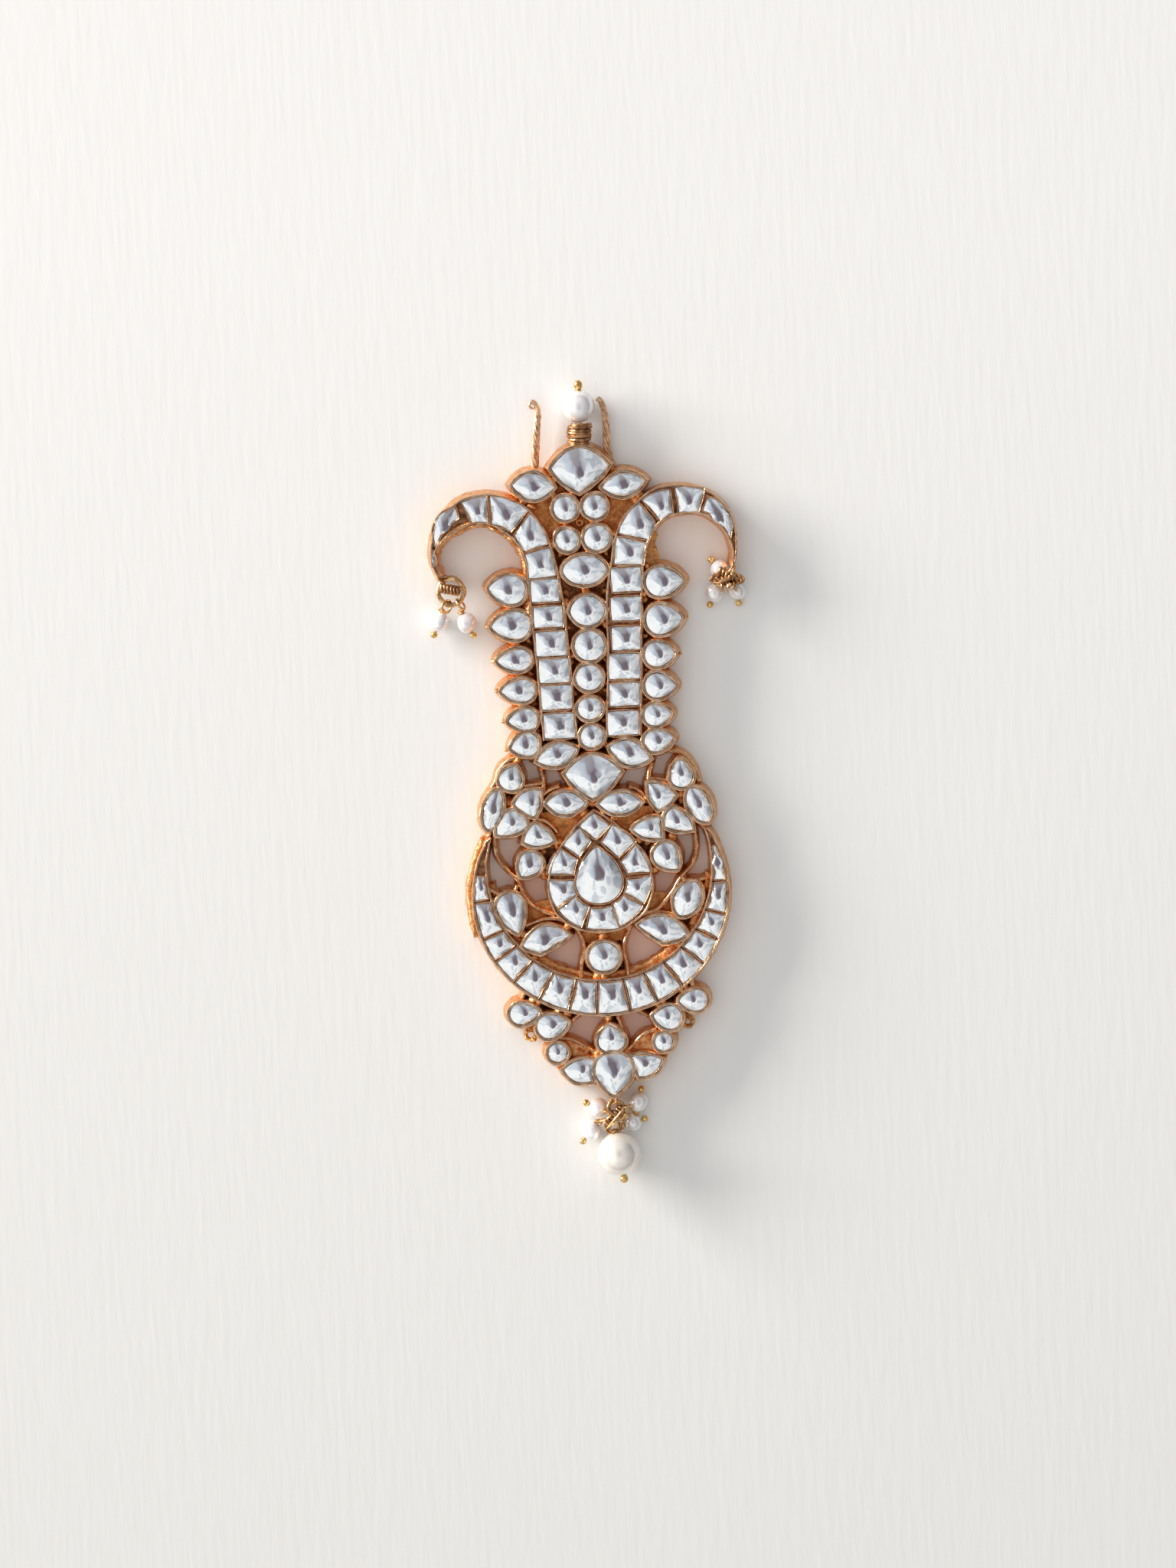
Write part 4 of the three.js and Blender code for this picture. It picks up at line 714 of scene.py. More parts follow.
def channel(bm, left, right, flares=(1, 1)):
    """A channel whose two rails follow two lines of as many points, closed at both ends.

    The flares say how much of the usual draught each outer wall has.
    """
    runs = []
    for a, out_a, b, out_b in zip(left, outwards(left, 1), right, outwards(right, -1)):
        tight = min(1, math.dist(a, b) * RAIL_SHARE / RAIL_WIDTH)
        sides = []
        for at, out, flare in ((a, out_a, flares[0]), (b, out_b, flares[1])):
            sides.append([place(*(Vector(at) + out * offset * (tight if offset < 0 else flare)), z)
                          for offset, z, _ in CHANNEL_SECTION])
        runs.append([*sides[0], *sides[1][::-1]])
    finishes = [finish for *_, finish in CHANNEL_SECTION[1:]]
    # the floor between the stones takes the dark gap gold, painted shade with some tarnish
    finishes = [*finishes, SEAT, *finishes[::-1], WALL]
    run = new_run(bm, runs[0])
    cap(bm, run, WALL)
    for spots in runs[1:]:
        new = drawn(bm, run, spots)
        for k, finish in enumerate(finishes):
            after = (k + 1) % len(run)
            bm.faces.get((run[k], run[after], new[after], new[k])).material_index = finish
        run = new
    cap(bm, run, WALL)


def collars(bm, cells):
    """A thin collar round each stone that stands in a channel."""
    for cell in cells:
        through(bm, cell, COLLAR_SECTION)


def spread(corners):
    """A stone's corners moved apart along its outer side and along its inner one."""
    a, b, c, d = (Vector(corner) for corner in corners)
    outer, inner = (a - b).normalized() * BAR_SPREAD, (c - d).normalized() * BAR_SPREAD
    return tuple(a + outer), tuple(b - outer), tuple(c + inner), tuple(d - inner)


def even_line(points, count):
    """A smooth line through some points, as a number of points an even distance apart."""
    line = [Vector(p) for p in smooth_line(points, 10)]
    gone = [0.0]
    for a, b in zip(line, line[1:]):
        gone.append(gone[-1] + (b - a).length)
    made, k = [], 0
    for i in range(count):
        reach = gone[-1] * i / (count - 1)
        while k < len(line) - 2 and gone[k + 1] < reach:
            k += 1
        made.append(tuple(line[k].lerp(line[k + 1], (reach - gone[k]) / (gone[k + 1] - gone[k]))))
    return made


def roughened(verts, amount, size, seed=0.0):
    """Small uneven moves of a mesh's points, as handwork leaves, down to the flat back."""
    for v in verts:
        v.co += noise.noise_vector(v.co / (size * MM) + Vector((seed, seed, seed))) * amount * MM
        v.co.z = max(0.0, v.co.z)


def worn(bm, amount, size):
    """The coarse unevenness of a soldered piece, and the fine one."""
    roughened(bm.verts, amount, size)
    roughened(bm.verts, *FINE_WEAR, seed=5)


def swept(bm, path, radius, sides=8, taper=1.0):
    """A round wire along a path in metres."""
    ways = [(path[min(i + 1, len(path) - 1)] - path[max(i - 1, 0)]).normalized() for i in range(len(path))]
    turn = Vector(UP).rotation_difference(ways[0]).to_matrix().to_4x4()
    start = bmesh.ops.create_circle(
        bm, cap_ends=True, segments=sides, radius=radius * MM, matrix=Matrix.Translation(path[0]) @ turn
    )["verts"]
    edges = list({e for v in start for e in v.link_edges})
    for i in range(1, len(path)):
        made = bmesh.ops.extrude_edge_only(bm, edges=edges)["geom"]
        verts = [v for v in made if isinstance(v, bmesh.types.BMVert)]
        new = set(verts)
        edges = [e for e in made if isinstance(e, bmesh.types.BMEdge) and new.issuperset(e.verts)]
        bmesh.ops.rotate(bm, verts=verts, cent=path[i - 1],
                         matrix=ways[i - 1].rotation_difference(ways[i]).to_matrix())
        bmesh.ops.translate(bm, verts=verts, vec=path[i] - path[i - 1])
        share = taper ** (1 / len(path))
        bmesh.ops.scale(bm, verts=verts, vec=(share,) * 3, space=Matrix.Translation(-path[i]))
    bmesh.ops.edgeloop_fill(bm, edges=edges)


def spun(bm, verts, edges, steps):
    """Turns a profile full circle about Z, and returns the points of the whole."""
    before = set(bm.verts).difference(verts)
    bmesh.ops.spin(bm, geom=verts + edges, cent=(0, 0, 0), axis=UP, dvec=(0, 0, 0), angle=2 * math.pi,
                   steps=steps, use_merge=True, use_normal_flip=False, use_duplicate=False)
    return [v for v in bm.verts if v not in before]


def laid(bm, verts, at, along):
    """Turns points made about the origin so that Z lies along a line, and moves them to a point in metres."""
    lie = Vector(UP).rotation_difference(along).to_matrix().to_4x4()
    bmesh.ops.transform(bm, matrix=Matrix.Translation(at) @ lie, verts=verts)


def hoop(bm, at, rx, ry, wire, normal, steps=36):
    """A closed round or oval wire ring about a point in metres."""
    section = Matrix.Translation((rx * MM, 0, 0)) @ Matrix.Rotation(math.pi / 2, 4, "X")
    verts = bmesh.ops.create_circle(bm, segments=HOOP_SIDES, radius=wire * MM, matrix=section)["verts"]
    verts = spun(bm, verts, list({e for v in verts for e in v.link_edges}), steps)
    bmesh.ops.scale(bm, verts=verts, vec=(1, ry / rx, 1))
    laid(bm, verts, at, Vector(normal))


def bead(bm, at, radius, along, steps, stretch=1.0, dimple=0.0, finish=WIRE):
    """A turned bead about a line; dimple is the radius of the hole it is drilled with."""
    edge = math.asin(dimple / radius) if dimple else 0.0
    rings = steps // 2
    profile = []
    if dimple:
        profile.append((dimple * HOLE_FOOT[0], -radius * HOLE_FOOT[1]))
    for i in range(rings + 1):
        a = edge + (math.pi - 2 * edge) * i / rings
        profile.append((radius * math.sin(a), -radius * math.cos(a) * stretch))
    if dimple:
        profile.append((dimple * HOLE_FOOT[0], radius * HOLE_FOOT[1]))
    verts = [bm.verts.new((r * MM, 0, h * MM)) for r, h in profile]
    edges = [bm.edges.new(pair) for pair in zip(verts, verts[1:])]
    made = spun(bm, verts, edges, steps)
    bmesh.ops.remove_doubles(bm, verts=made, dist=WELD)
    made = [v for v in made if v.is_valid]
    if dimple:
        open_edges = {e for v in made for e in v.link_edges if len(e.link_faces) == 1}
        bmesh.ops.holes_fill(bm, edges=list(open_edges), sides=0)
    laid(bm, made, at, along)
    for face in {f for v in made for f in v.link_faces}:
        face.material_index = finish


def linked(name, data):
    made = bpy.data.objects.new(name, data)
    bpy.context.scene.collection.objects.link(made)
    return made


def finished(name, bm, materials, slot, *nodes, sharp=35):
    """Makes the mesh an object of the ornament that stands for some CAD nodes."""
    bmesh.ops.recalc_face_normals(bm, faces=bm.faces)
    mesh = bpy.data.meshes.new(name)
    bm.to_mesh(mesh)
    bm.free()
    for material in materials:
        mesh.materials.append(material)
    mesh.shade_smooth()
    mesh.set_sharp_from_angle(angle=math.radians(sharp))
    piece = linked(name, mesh)
    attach(piece, "root")
    if nodes:
        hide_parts(*nodes)


# ---------------------------------------------------------------- materials
WHITE = (1.0, 1.0, 1.0)


def material(name, **values):
    """A new material with its node tree and its main shader, some of whose values are set."""
    made = bpy.data.materials.new(name)
    made.use_nodes = True
    shader = made.node_tree.nodes["Principled BSDF"]
    for key, value in values.items():
        shader.inputs[key.replace("_", " ")].default_value = value
    return made, made.node_tree, shader


def add(tree, kind, **values):
    node = tree.nodes.new(kind)
    for key, value in values.items():
        if key in node.inputs:
            node.inputs[key].default_value = value
        else:
            setattr(node, key, value)
    return node


def grain(tree, size, detail=4.0, roughness=0.55, stretch=(1, 1, 1)):
    """Noise on the piece's own coordinates, with lumps of some size in millimetres."""
    coordinates = add(tree, "ShaderNodeTexCoord")
    mapping = add(tree, "ShaderNodeMapping", Scale=stretch)
    texture = add(tree, "ShaderNodeTexNoise", Scale=1 / (size * MM), Detail=detail, Roughness=roughness)
    tree.links.new(coordinates.outputs["Object"], mapping.inputs["Vector"])
    tree.links.new(mapping.outputs["Vector"], texture.inputs["Vector"])
    return texture.outputs["Fac"]


def ramp(tree, source, *stops):
    """A colour ramp on a value: (position, colour) stops."""
    node = add(tree, "ShaderNodeValToRGB")
    tree.links.new(source, node.inputs["Fac"])
    elements = node.color_ramp.elements
    while len(elements) < len(stops):
        elements.new(0.5)
    for element, (position, colour) in zip(elements, stops):
        element.position = position
        element.color = (*colour, 1)
    return node.outputs["Color"]


def levels(tree, source, low, high, start=0.0, end=1.0):
    node = add(tree, "ShaderNodeMapRange")
    tree.links.new(source, node.inputs["Value"])
    for key, value in (("From Min", start), ("From Max", end), ("To Min", low), ("To Max", high)):
        node.inputs[key].default_value = value
    return node.outputs["Result"]


# The colour sockets of a mix node, which share their names with its other sockets.
MIX_COLOUR_A, MIX_COLOUR_B, MIX_RESULT = 6, 7, 2


def multiplied(tree, a, b):
    """One colour times another."""
    node = add(tree, "ShaderNodeMix", data_type="RGBA", blend_type="MULTIPLY", Factor=1.0)
    tree.links.new(a, node.inputs[MIX_COLOUR_A])
    tree.links.new(b, node.inputs[MIX_COLOUR_B])
    return node.outputs[MIX_RESULT]


def calculated(tree, operation, *values):
    node = add(tree, "ShaderNodeMath", operation=operation)
    for socket, value in zip(node.inputs, values):
        if isinstance(value, float):
            socket.default_value = value
        else:
            tree.links.new(value, socket)
    return node.outputs[0]


def separated(tree, coordinates="Object"):
    """The X, Y and Z of some texture coordinates."""
    node = add(tree, "ShaderNodeSeparateXYZ")
    tree.links.new(add(tree, "ShaderNodeTexCoord").outputs[coordinates], node.inputs["Vector"])
    return node.outputs


def bumped(tree, shader, height, depth, strength=1.0):
    """Relief on a shader, of a depth in millimetres."""
    node = add(tree, "ShaderNodeBump", Strength=strength, Distance=depth * MM)
    tree.links.new(height, node.inputs["Height"])
    tree.links.new(node.outputs["Normal"], shader.inputs["Normal"])


def wall_gold():
    made, tree, shader = material("rose_gold_wall", Metallic=1.0)
    tint = ramp(tree, grain(tree, 1.1),
                (0.3, (0.54, 0.22, 0.08)), (0.5, (0.8, 0.4, 0.16)), (0.7, (0.95, 0.61, 0.32)))
    tree.links.new(tint, shader.inputs["Base Color"])
    tree.links.new(levels(tree, grain(tree, 0.6), 0.22, 0.52, 0.3, 0.7), shader.inputs["Roughness"])
    bumped(tree, shader, grain(tree, 0.6, detail=5), 0.3)
    return made


TINT_STOPS = (0.32, 0.52, 0.7)
# The mottled golds: size of their blotches, three tints, roughness from and to, relief.
MOTTLED_GOLDS = {
    "rubbed_gold_edge": (0.9, ((0.72, 0.38, 0.17), (0.88, 0.55, 0.3), (0.97, 0.72, 0.46)), 0.18, 0.36, 0.05),
    # the rim tops: a greyer, darker and rougher gold than the walls
    "grey_tan_rim_top": (1.6, ((0.24, 0.165, 0.12), (0.48, 0.35, 0.26), (0.84, 0.63, 0.46)), 0.28, 0.5, 0.08),
    "grained_gold": (1.4, ((0.5, 0.23, 0.08), (0.86, 0.47, 0.18), (0.98, 0.69, 0.34)), 0.2, 0.46, 0.45),
    # the gaps' dark gold: its dark tints are painted shade of the deep pockets between settings, with some
    # tarnish
    "tarnish_and_shade_gap": (1.1, ((0.12, 0.055, 0.03), (0.34, 0.18, 0.09), (0.66, 0.4, 0.22)), 0.35, 0.65, 0.18),
    "brown_gold_wire": (1.2, ((0.5, 0.26, 0.1), (0.8, 0.5, 0.22), (0.95, 0.68, 0.36)), 0.18, 0.36, 0.03),
    "yellow_gold_bead": (1.2, ((0.72, 0.42, 0.13), (0.88, 0.58, 0.22), (0.96, 0.7, 0.32)), 0.14, 0.3, 0.02),
    "wound_wire_gold": (1.0, ((0.2, 0.085, 0.04), (0.5, 0.26, 0.12), (0.85, 0.53, 0.29)), 0.25, 0.45, 0.05),
    "twisted_wire_gold": (1.0, ((0.5, 0.27, 0.14), (0.8, 0.5, 0.3), (0.93, 0.66, 0.44)), 0.3, 0.5, 0.06),
}


def mottled_gold(name, detail=4.0):
    """A gold mottled between three tints and between two roughnesses."""
    size, tints, smooth, rough, relief = MOTTLED_GOLDS[name]
    made, tree, shader = material(name, Metallic=1.0)
    tint = ramp(tree, grain(tree, size), *zip(TINT_STOPS, tints))
    tree.links.new(tint, shader.inputs["Base Color"])
    tree.links.new(levels(tree, grain(tree, 0.6), smooth, rough, 0.3, 0.7), shader.inputs["Roughness"])
    bumped(tree, shader, grain(tree, 0.42, detail=detail, roughness=0.6), relief)
    return made


def foiled_glass():
    made, tree, shader = material(
        "foiled_glass", Metallic=1.0, Coat_Weight=0.6, Coat_Roughness=0.02, Coat_IOR=1.52
    )
    tint = ramp(tree, grain(tree, 1.3), (0.3, (0.88, 0.92, 0.96)), (0.55, (0.96, 0.985, 1.0)))
    tree.links.new(tint, shader.inputs["Base Color"])
    tree.links.new(levels(tree, grain(tree, 0.9), 0.02, 0.07, 0.3, 0.7), shader.inputs["Roughness"])
    bumped(tree, shader, grain(tree, 1.7, detail=0.6), 0.075)
    return made


def pearl(name, low, high):
    made, tree, shader = material(
        name, Roughness=0.24, Metallic=0.35, Coat_Weight=1.0, Coat_Roughness=0.1, Coat_IOR=1.6,
        Subsurface_Weight=0.15, Subsurface_Scale=0.001, Thin_Film_Thickness=310.0, Thin_Film_IOR=1.45
    )
    tint = ramp(tree, grain(tree, 2.2, detail=3), (0.35, low), (0.65, high))
    tree.links.new(tint, shader.inputs["Base Color"])
    bumped(tree, shader, grain(tree, 1.2, detail=3), 0.03)
    return made


def warmed(tree, paint, x, y, reach_x, reach_y, tint):
    """Paint with the warm light that gold walls throw on it, in an oval about a place in millimetres."""
    middle = place(x, y, 0)
    shift = add(tree, "ShaderNodeMapping", vector_type="TEXTURE", Location=middle,
                Scale=(reach_x * MM, reach_y * MM, 1))
    tree.links.new(add(tree, "ShaderNodeTexCoord").outputs["Object"], shift.inputs["Vector"])
    away = add(tree, "ShaderNodeVectorMath", operation="LENGTH")
    tree.links.new(shift.outputs["Vector"], away.inputs[0])
    return multiplied(tree, paint, ramp(tree, away.outputs["Value"], (0.75, tint), (1.0, WHITE)))


def board():
    made, tree, shader = material("painted_board", Roughness=0.75)
    streaks = grain(tree, 4, detail=5, stretch=(3, 0.35, 1))
    paint = ramp(tree, streaks, (0.3, (0.91, 0.897, 0.874)), (0.7, (0.925, 0.914, 0.893)))
    # Painted shade: the board's paint darkens towards -Y, standing in for the room's light falling off across
    # it.
    near = levels(tree, separated(tree)["Y"], 0.0, 1.0, -0.15, 0.1)
    paint = multiplied(tree, paint, ramp(tree, near, (0.0, (0.9, 0.9, 0.895)), (1.0, WHITE)))
    # painted bounce light from the gold walls, in ovals on the board
    for glow in FLOOR_GLOWS:
        paint = warmed(tree, paint, *glow)
    tree.links.new(paint, shader.inputs["Base Color"])
    bumped(tree, shader, streaks, 0.08, 0.5)
    return made


GOLDS = (
    wall_gold(), mottled_gold("rubbed_gold_edge"), mottled_gold("grey_tan_rim_top"), mottled_gold("tarnish_and_shade_gap")
)
GRAINED = mottled_gold("grained_gold", detail=6.0)
WIRES = (mottled_gold("brown_gold_wire"), mottled_gold("yellow_gold_bead"))
COIL = mottled_gold("wound_wire_gold")
ROPE = mottled_gold("twisted_wire_gold")
GLASS = foiled_glass()
SMALL_PEARL = pearl("pink_white_pearl", (0.9, 0.86, 0.85), (0.97, 0.95, 0.945))
LARGE_PEARL = pearl("cream_pearl", (0.92, 0.85, 0.75), (0.96, 0.91, 0.83))


# ---------------------------------------------------------------- gold
def lone_outlines():
    """The outlines of the stones that have a setting of their own."""
    outlines = [cut_outline(*stone[1:]) for stone in MAIN_STONES if stone[0] != "centre_pear_stone"]
    outlines += [corner_outline(corners, rise) for _, corners, rise in FAN_STONES]
    outlines += [cut_outline(*stone) for stone in SMALL_STONES]
    outlines += [corner_outline(*stone) for stone in LEAF_STONES]
    return outlines


def settings():
    bm = bmesh.new()
    for outline in lone_outlines():
        through(bm, outline, SETTING_SECTION)
    worn(bm, 0.16, 2.2)
    finished("settings", bm, GOLDS, "gold", "frame")


def side_track(name, rails, cells, bend, left, flares=(1, 1)):
    """One of the two tracks that rise beside the middle row and end as hooks."""
    bm = bmesh.new()
    outer, inner = (even_line(rail, TRACK_STEPS) for rail in rails)
    channel(bm, *((inner, outer) if left else (outer, inner)), flares)
    collars(bm, [cell_outline(*cell) for cell in cells] + [corner_outline(*stone) for stone in bend])
    worn(bm, 0.14, 2.4)
    finished(name, bm, GOLDS, "gold")


def halo_outlines():
    first, *others = HALO_STONES
    return [corner_outline(*first)] + [corner_outline(spread(corners), rise) for corners, rise in others]


def channel_outlines():
    """The outlines of the stones in the tracks, the halo and the crescent."""
    outlines = [cell_outline(*cell) for cell in (*LEFT_CELLS, *RIGHT_CELLS)]
    outlines += [corner_outline(*stone) for stone in (*LEFT_BEND, *RIGHT_BEND)]
    return outlines + halo_outlines() + crescent_cells()


def halo():
    bm = bmesh.new()
    centre = next(stone for stone in MAIN_STONES if stone[0] == "centre_pear_stone")
    through(bm, cut_outline(*HALO, sides=TRACK_STEPS), CHANNEL_SECTION)
    collars(bm, [cut_outline(*centre[1:]), *halo_outlines()])
    roughened(bm.verts, 0.12, 2.2)
    finished("halo", bm, GOLDS, "gold")


def crescent():
    bm = bmesh.new()
    outer, inner = crescent_lines()
    channel(bm, inner, outer)
    collars(bm, crescent_cells())
    worn(bm, 0.14, 2.4)
    finished("crescent", bm, GOLDS, "gold")


def crescent_ledges():
    """The rough gold outside the crescent's left horn, and the ledge along its inner wall."""
    bm = bmesh.new()
    outer, inner = crescent_lines()
    horn = beside(outer, -HORN_RIM / 2)[HORN_SPAN]
    ledge = beside(inner, INNER_LEDGE / 2)[LEDGE_SPAN]
    through(bm, strip_outline(horn, HORN_RIM), HORN_SECTION)
    through(bm, strip_outline(ledge, INNER_LEDGE), LEDGE_SECTION)
    bmesh.ops.triangulate(bm, faces=[f for f in bm.faces if len(f.verts) > 4])
    roughened(bm.verts, 0.45, 1.2)
    finished("crescent_ledges", bm, (GOLDS[WALL],), "gold", sharp=80)


def ribs():
    bm = bmesh.new()
    for rib in RIBS:
        line = smooth_line(rib, 8 if len(rib) > 2 else 4)
        through(bm, strip_outline(line, RIB_WIDTH), RIB_SECTION, ends=(WALL, EDGE))
    roughened(bm.verts, 0.14, 1.6)
    finished("ribs", bm, GOLDS, "gold")


def sheets(name, plates, finish, lumps):
    """Recessed sheets, beaten uneven."""
    bm = bmesh.new()
    for height, corners in plates:
        points = corners if signed_area(corners) > 0 else corners[::-1]
        outline = [tuple(Vector(a).lerp(Vector(b), k / SHEET_STEPS))
                   for a, b in zip(points, [*points[1:], points[0]]) for k in range(SHEET_STEPS)]
        run = new_run(bm, at_height(outline, 0.0))
        cap(bm, run)
        run = drawn(bm, run, at_height(outline, height))
        filled = bmesh.ops.triangle_fill(bm, edges=edges_of(bm, run), use_beauty=True, normal=(0, 0, 1))
        faces = [g for g in filled["geom"] if isinstance(g, bmesh.types.BMFace)]
        inner = {e for f in faces for e in f.edges if all(g in faces for g in e.link_faces)}
        bmesh.ops.subdivide_edges(bm, edges=list(inner), cuts=SHEET_CUTS)
    roughened([v for v in bm.verts if v.co.z > SHEET_FOOT * MM], lumps, 1.0)
    bmesh.ops.triangulate(bm, faces=bm.faces)
    finished(name, bm, (finish,), "gold")


def lump(bm, x, y, top, radius):
    """A lump of solder that fills a gap up to a height."""
    made = bmesh.ops.create_icosphere(bm, subdivisions=3, radius=radius * MM)["verts"]
    bmesh.ops.scale(bm, verts=made, vec=(1, 1, LUMP_HEIGHT))
    bmesh.ops.translate(bm, verts=made, vec=place(x, y, top - LUMP_HEIGHT * radius))
    roughened(made, *LUMP_SKIN)


def rough_hooks():
    """Solder left along the left hook's inner wall, and the boss between the four round stones."""
    bm = bmesh.new()
    inside = beside(even_line(LEFT_TRACK[1], HOOK_POINTS)[HOOK_SPAN], HOOK_SOLDER_OUT)
    through(bm, strip_outline(inside, HOOK_SOLDER), HOOK_SECTION)
    bmesh.ops.triangulate(bm, faces=[f for f in bm.faces if len(f.verts) > 4])
    roughened(bm.verts, 0.5, 1.1)
    through(bm, strip_outline(smooth_line(HOOK_SHELF, 8), SHELF_WIDTH), SHELF_SECTION)
    hoop(bm, place(*BOSS_AT, BOSS_RING_Z), *BOSS_RING, UP)
    lump(bm, *BOSS_AT, BOSS_TOP, BOSS_RADIUS)
    finished("rough_hooks", bm, (GOLDS[WALL],), "gold", sharp=80)


def nearest_points(a, b):
    """The closest two points of two outlines."""
    return min(((p, q) for p in a for q in b), key=lambda pair: math.dist(*pair))


def solder():
    """Lumps where neighbouring settings are soldered to each other."""
    bm = bmesh.new()
    lone = lone_outlines()
    outlines = lone + channel_outlines()
    for i, a in enumerate(lone):
        for b in outlines[i + 1:]:
            if math.dist(middle_of(a), middle_of(b)) > NEIGHBOURS_WITHIN:
                continue
            p, q = nearest_points(a, b)
            gap = math.dist(p, q)
            if SOLDER_GAPS[0] < gap < SOLDER_GAPS[1]:
                lump(bm, (p[0] + q[0]) / 2, (p[1] + q[1]) / 2, SOLDER_TOP, SOLDER_SHARE * gap)
    for cut, x, y, length, _, turn in SMALL_STONES:
        if cut == "drop" and y > SIDE_DROPS_FROM:
            reach, a = length / 2 + NIB["past"], math.radians(turn)
            lump(bm, x + reach * math.cos(a), y + reach * math.sin(a), NIB["top"], NIB["radius"])
    finished("solder", bm, (GOLDS[WALL],), "gold", sharp=80)


def tabs():
    """Bent tabs and scraps of gold in the gaps."""
    bm = bmesh.new()
    for x, y, height in TABS:
        made = bmesh.ops.create_cube(bm, size=MM)["verts"]
        bmesh.ops.scale(bm, verts=made, vec=(*TAB_SIZE, height))
        bmesh.ops.rotate(bm, verts=made, matrix=Matrix.Rotation(x * TAB_TURN + y, 3, "Z"))
        bmesh.ops.translate(bm, verts=made, vec=place(x, y, height / 2))
        edges = list({e for v in made for e in v.link_edges})
        bmesh.ops.bevel(bm, geom=edges, offset=TAB_BEVEL * MM, segments=2, affect="EDGES", profile=0.5,
                        material=-1)
    roughened(bm.verts, 0.3, 1.0)
    finished("tabs", bm, (GRAINED,), "gold", sharp=50)


def wound_neck():
    """The neck under the finial pearl: a core wound with wire."""
    bm = bmesh.new()
    x, z, low, high = NECK["x"], NECK["z"], NECK["from"], NECK["to"]
    turns, wire, lean = NECK["turns"], NECK["wire"], NECK["lean"]
    path = []
    for i in range(NECK["steps"] * turns + 1):
        share = i / (NECK["steps"] * turns)
        a = 2 * math.pi * turns * share
        wave = math.sin(5 * a / turns)
        radius = NECK["root"] + (NECK["top"] - NECK["root"]) * min(1, share * NECK["widens"])
        radius += NECK["swell"] * wave
        y = low + wire + (high - low - 2 * wire) * share + NECK["sway"] * wave
        path.append(place(x + radius * math.cos(a) + lean * share, y, z + radius * math.sin(a)))
    swept(bm, path, wire)
    core = [place(x, low - 0.2, z), place(x + 0.2, (low + high) / 2, z), place(x + lean, high - 0.1, z)]
    swept(bm, core, NECK["core"], sides=20)
    roughened(bm.verts, 0.1, 1.0)
    finished("wound_neck", bm, (COIL,), "gold")


def finial_pin():
    bm = bmesh.new()
    x, z, ball_y = FINIAL["pin_x"], NECK["z"], FINIAL["ball_y"]
    root = NECK["to"] - FINIAL["pin_root"]
    swept(bm, [place(x, root, z), place(x, FINIAL["y"], z), place(x, ball_y, z)], FINIAL["pin"])
    bead(bm, place(x, ball_y + FINIAL["ball_rise"], z), FINIAL["ball"], Vector((0, 1, 0)),
         stretch=FINIAL["egg"], steps=BALL_STEPS, finish=BALL)
    washer_y = FINIAL["y"] + FINIAL["radius"] - FINIAL["washer_sunk"]
    hoop(bm, place(x, washer_y, z), FINIAL["washer"], FINIAL["washer"], FINIAL["washer_wire"], (0, 1, 0))
    finished("finial_pin", bm, WIRES, "pale_gold")


def twisted_prongs():
    """Two prongs of twisted wire, thickest at the middle, one ending in a small loop."""
    bm = bmesh.new()
    for radius, points in PRONGS:
        line = [place(x, y, PRONG_Z) for x, y in smooth_line(points, 12)]
        reach = sum((b - a).length for a, b in zip(line, line[1:])) / MM
        for strand in range(PRONG_STRANDS):
            path, gone = [], 0.0
            for i, at in enumerate(line):
                before, after = line[max(i - 1, 0)], line[min(i + 1, len(line) - 1)]
                side = (after - before).normalized().cross(Vector(UP)).normalized()
                gone += (at - before).length / MM
                a = 2 * math.pi * (strand / PRONG_STRANDS + gone / PRONG_PITCH)
                swell = math.sin(math.pi * min(1, PRONG_PEAK * gone / reach))
                out = radius * (PRONG_THIN + (1 - PRONG_THIN) * swell) * STRAND_LIE * MM
                path.append(at + (side * math.cos(a) + Vector(UP) * math.sin(a)) * out)
            swept(bm, path, radius * STRAND_SHARE, taper=STRAND_TAPER)
    hoop(bm, place(*PRONG_LOOP_AT), 0.5, 0.6, 0.2, UP)
    roughened(bm.verts, 0.08, 0.9)
    finished("twisted_prongs", bm, (ROPE,), "gold")


def lugs():
    bm = bmesh.new()
    for at, radius, wire, normal, stem in LUGS:
        hoop(bm, place(*at), radius, radius, wire, normal)
        way = (place(*stem) - place(*at)).normalized()
        root = place(*at) + way * radius * MM
        swept(bm, [root, (root + place(*stem)) / 2, place(*stem)], wire * LUG_STEM)
        if normal == UP:
            for k in range(LUG_LUMPS["count"]):
                a = LUG_LUMPS["turn"] * k + at[0]
                top = LUG_LUMPS["top"] + LUG_LUMPS["sway"] * math.sin(3 * a)
                lump(bm, at[0] + radius * math.cos(a), at[1] + radius * math.sin(a), top, LUG_LUMPS["radius"])
    roughened(bm.verts, 0.1, 0.8)
    finished("lugs", bm, (GRAINED,), "gold")


# ---------------------------------------------------------------- stones
def facet_points(outline, share, corners, turn, uneven):
    """A shrunk outline whose points lie on straight sides between a few uneven corners."""
    cx, cy = middle_of(outline)
    count = len(outline)
    step = count / corners

    def corner(at):
        x, y = outline[round(at) % count]
        wander = 1 + 2 * uneven * noise.noise(Vector((x * FACET_NOISE, y * FACET_NOISE, share * LEVEL_NOISE)))
        return Vector((cx + (x - cx) * share * wander, cy + (y - cy) * share * wander))

    points = []
    for i in range(count):
        at = (math.floor(i / step - turn) + turn) * step
        points.append(tuple(corner(at).lerp(corner(at + step), (i - at) / step)))
    return points


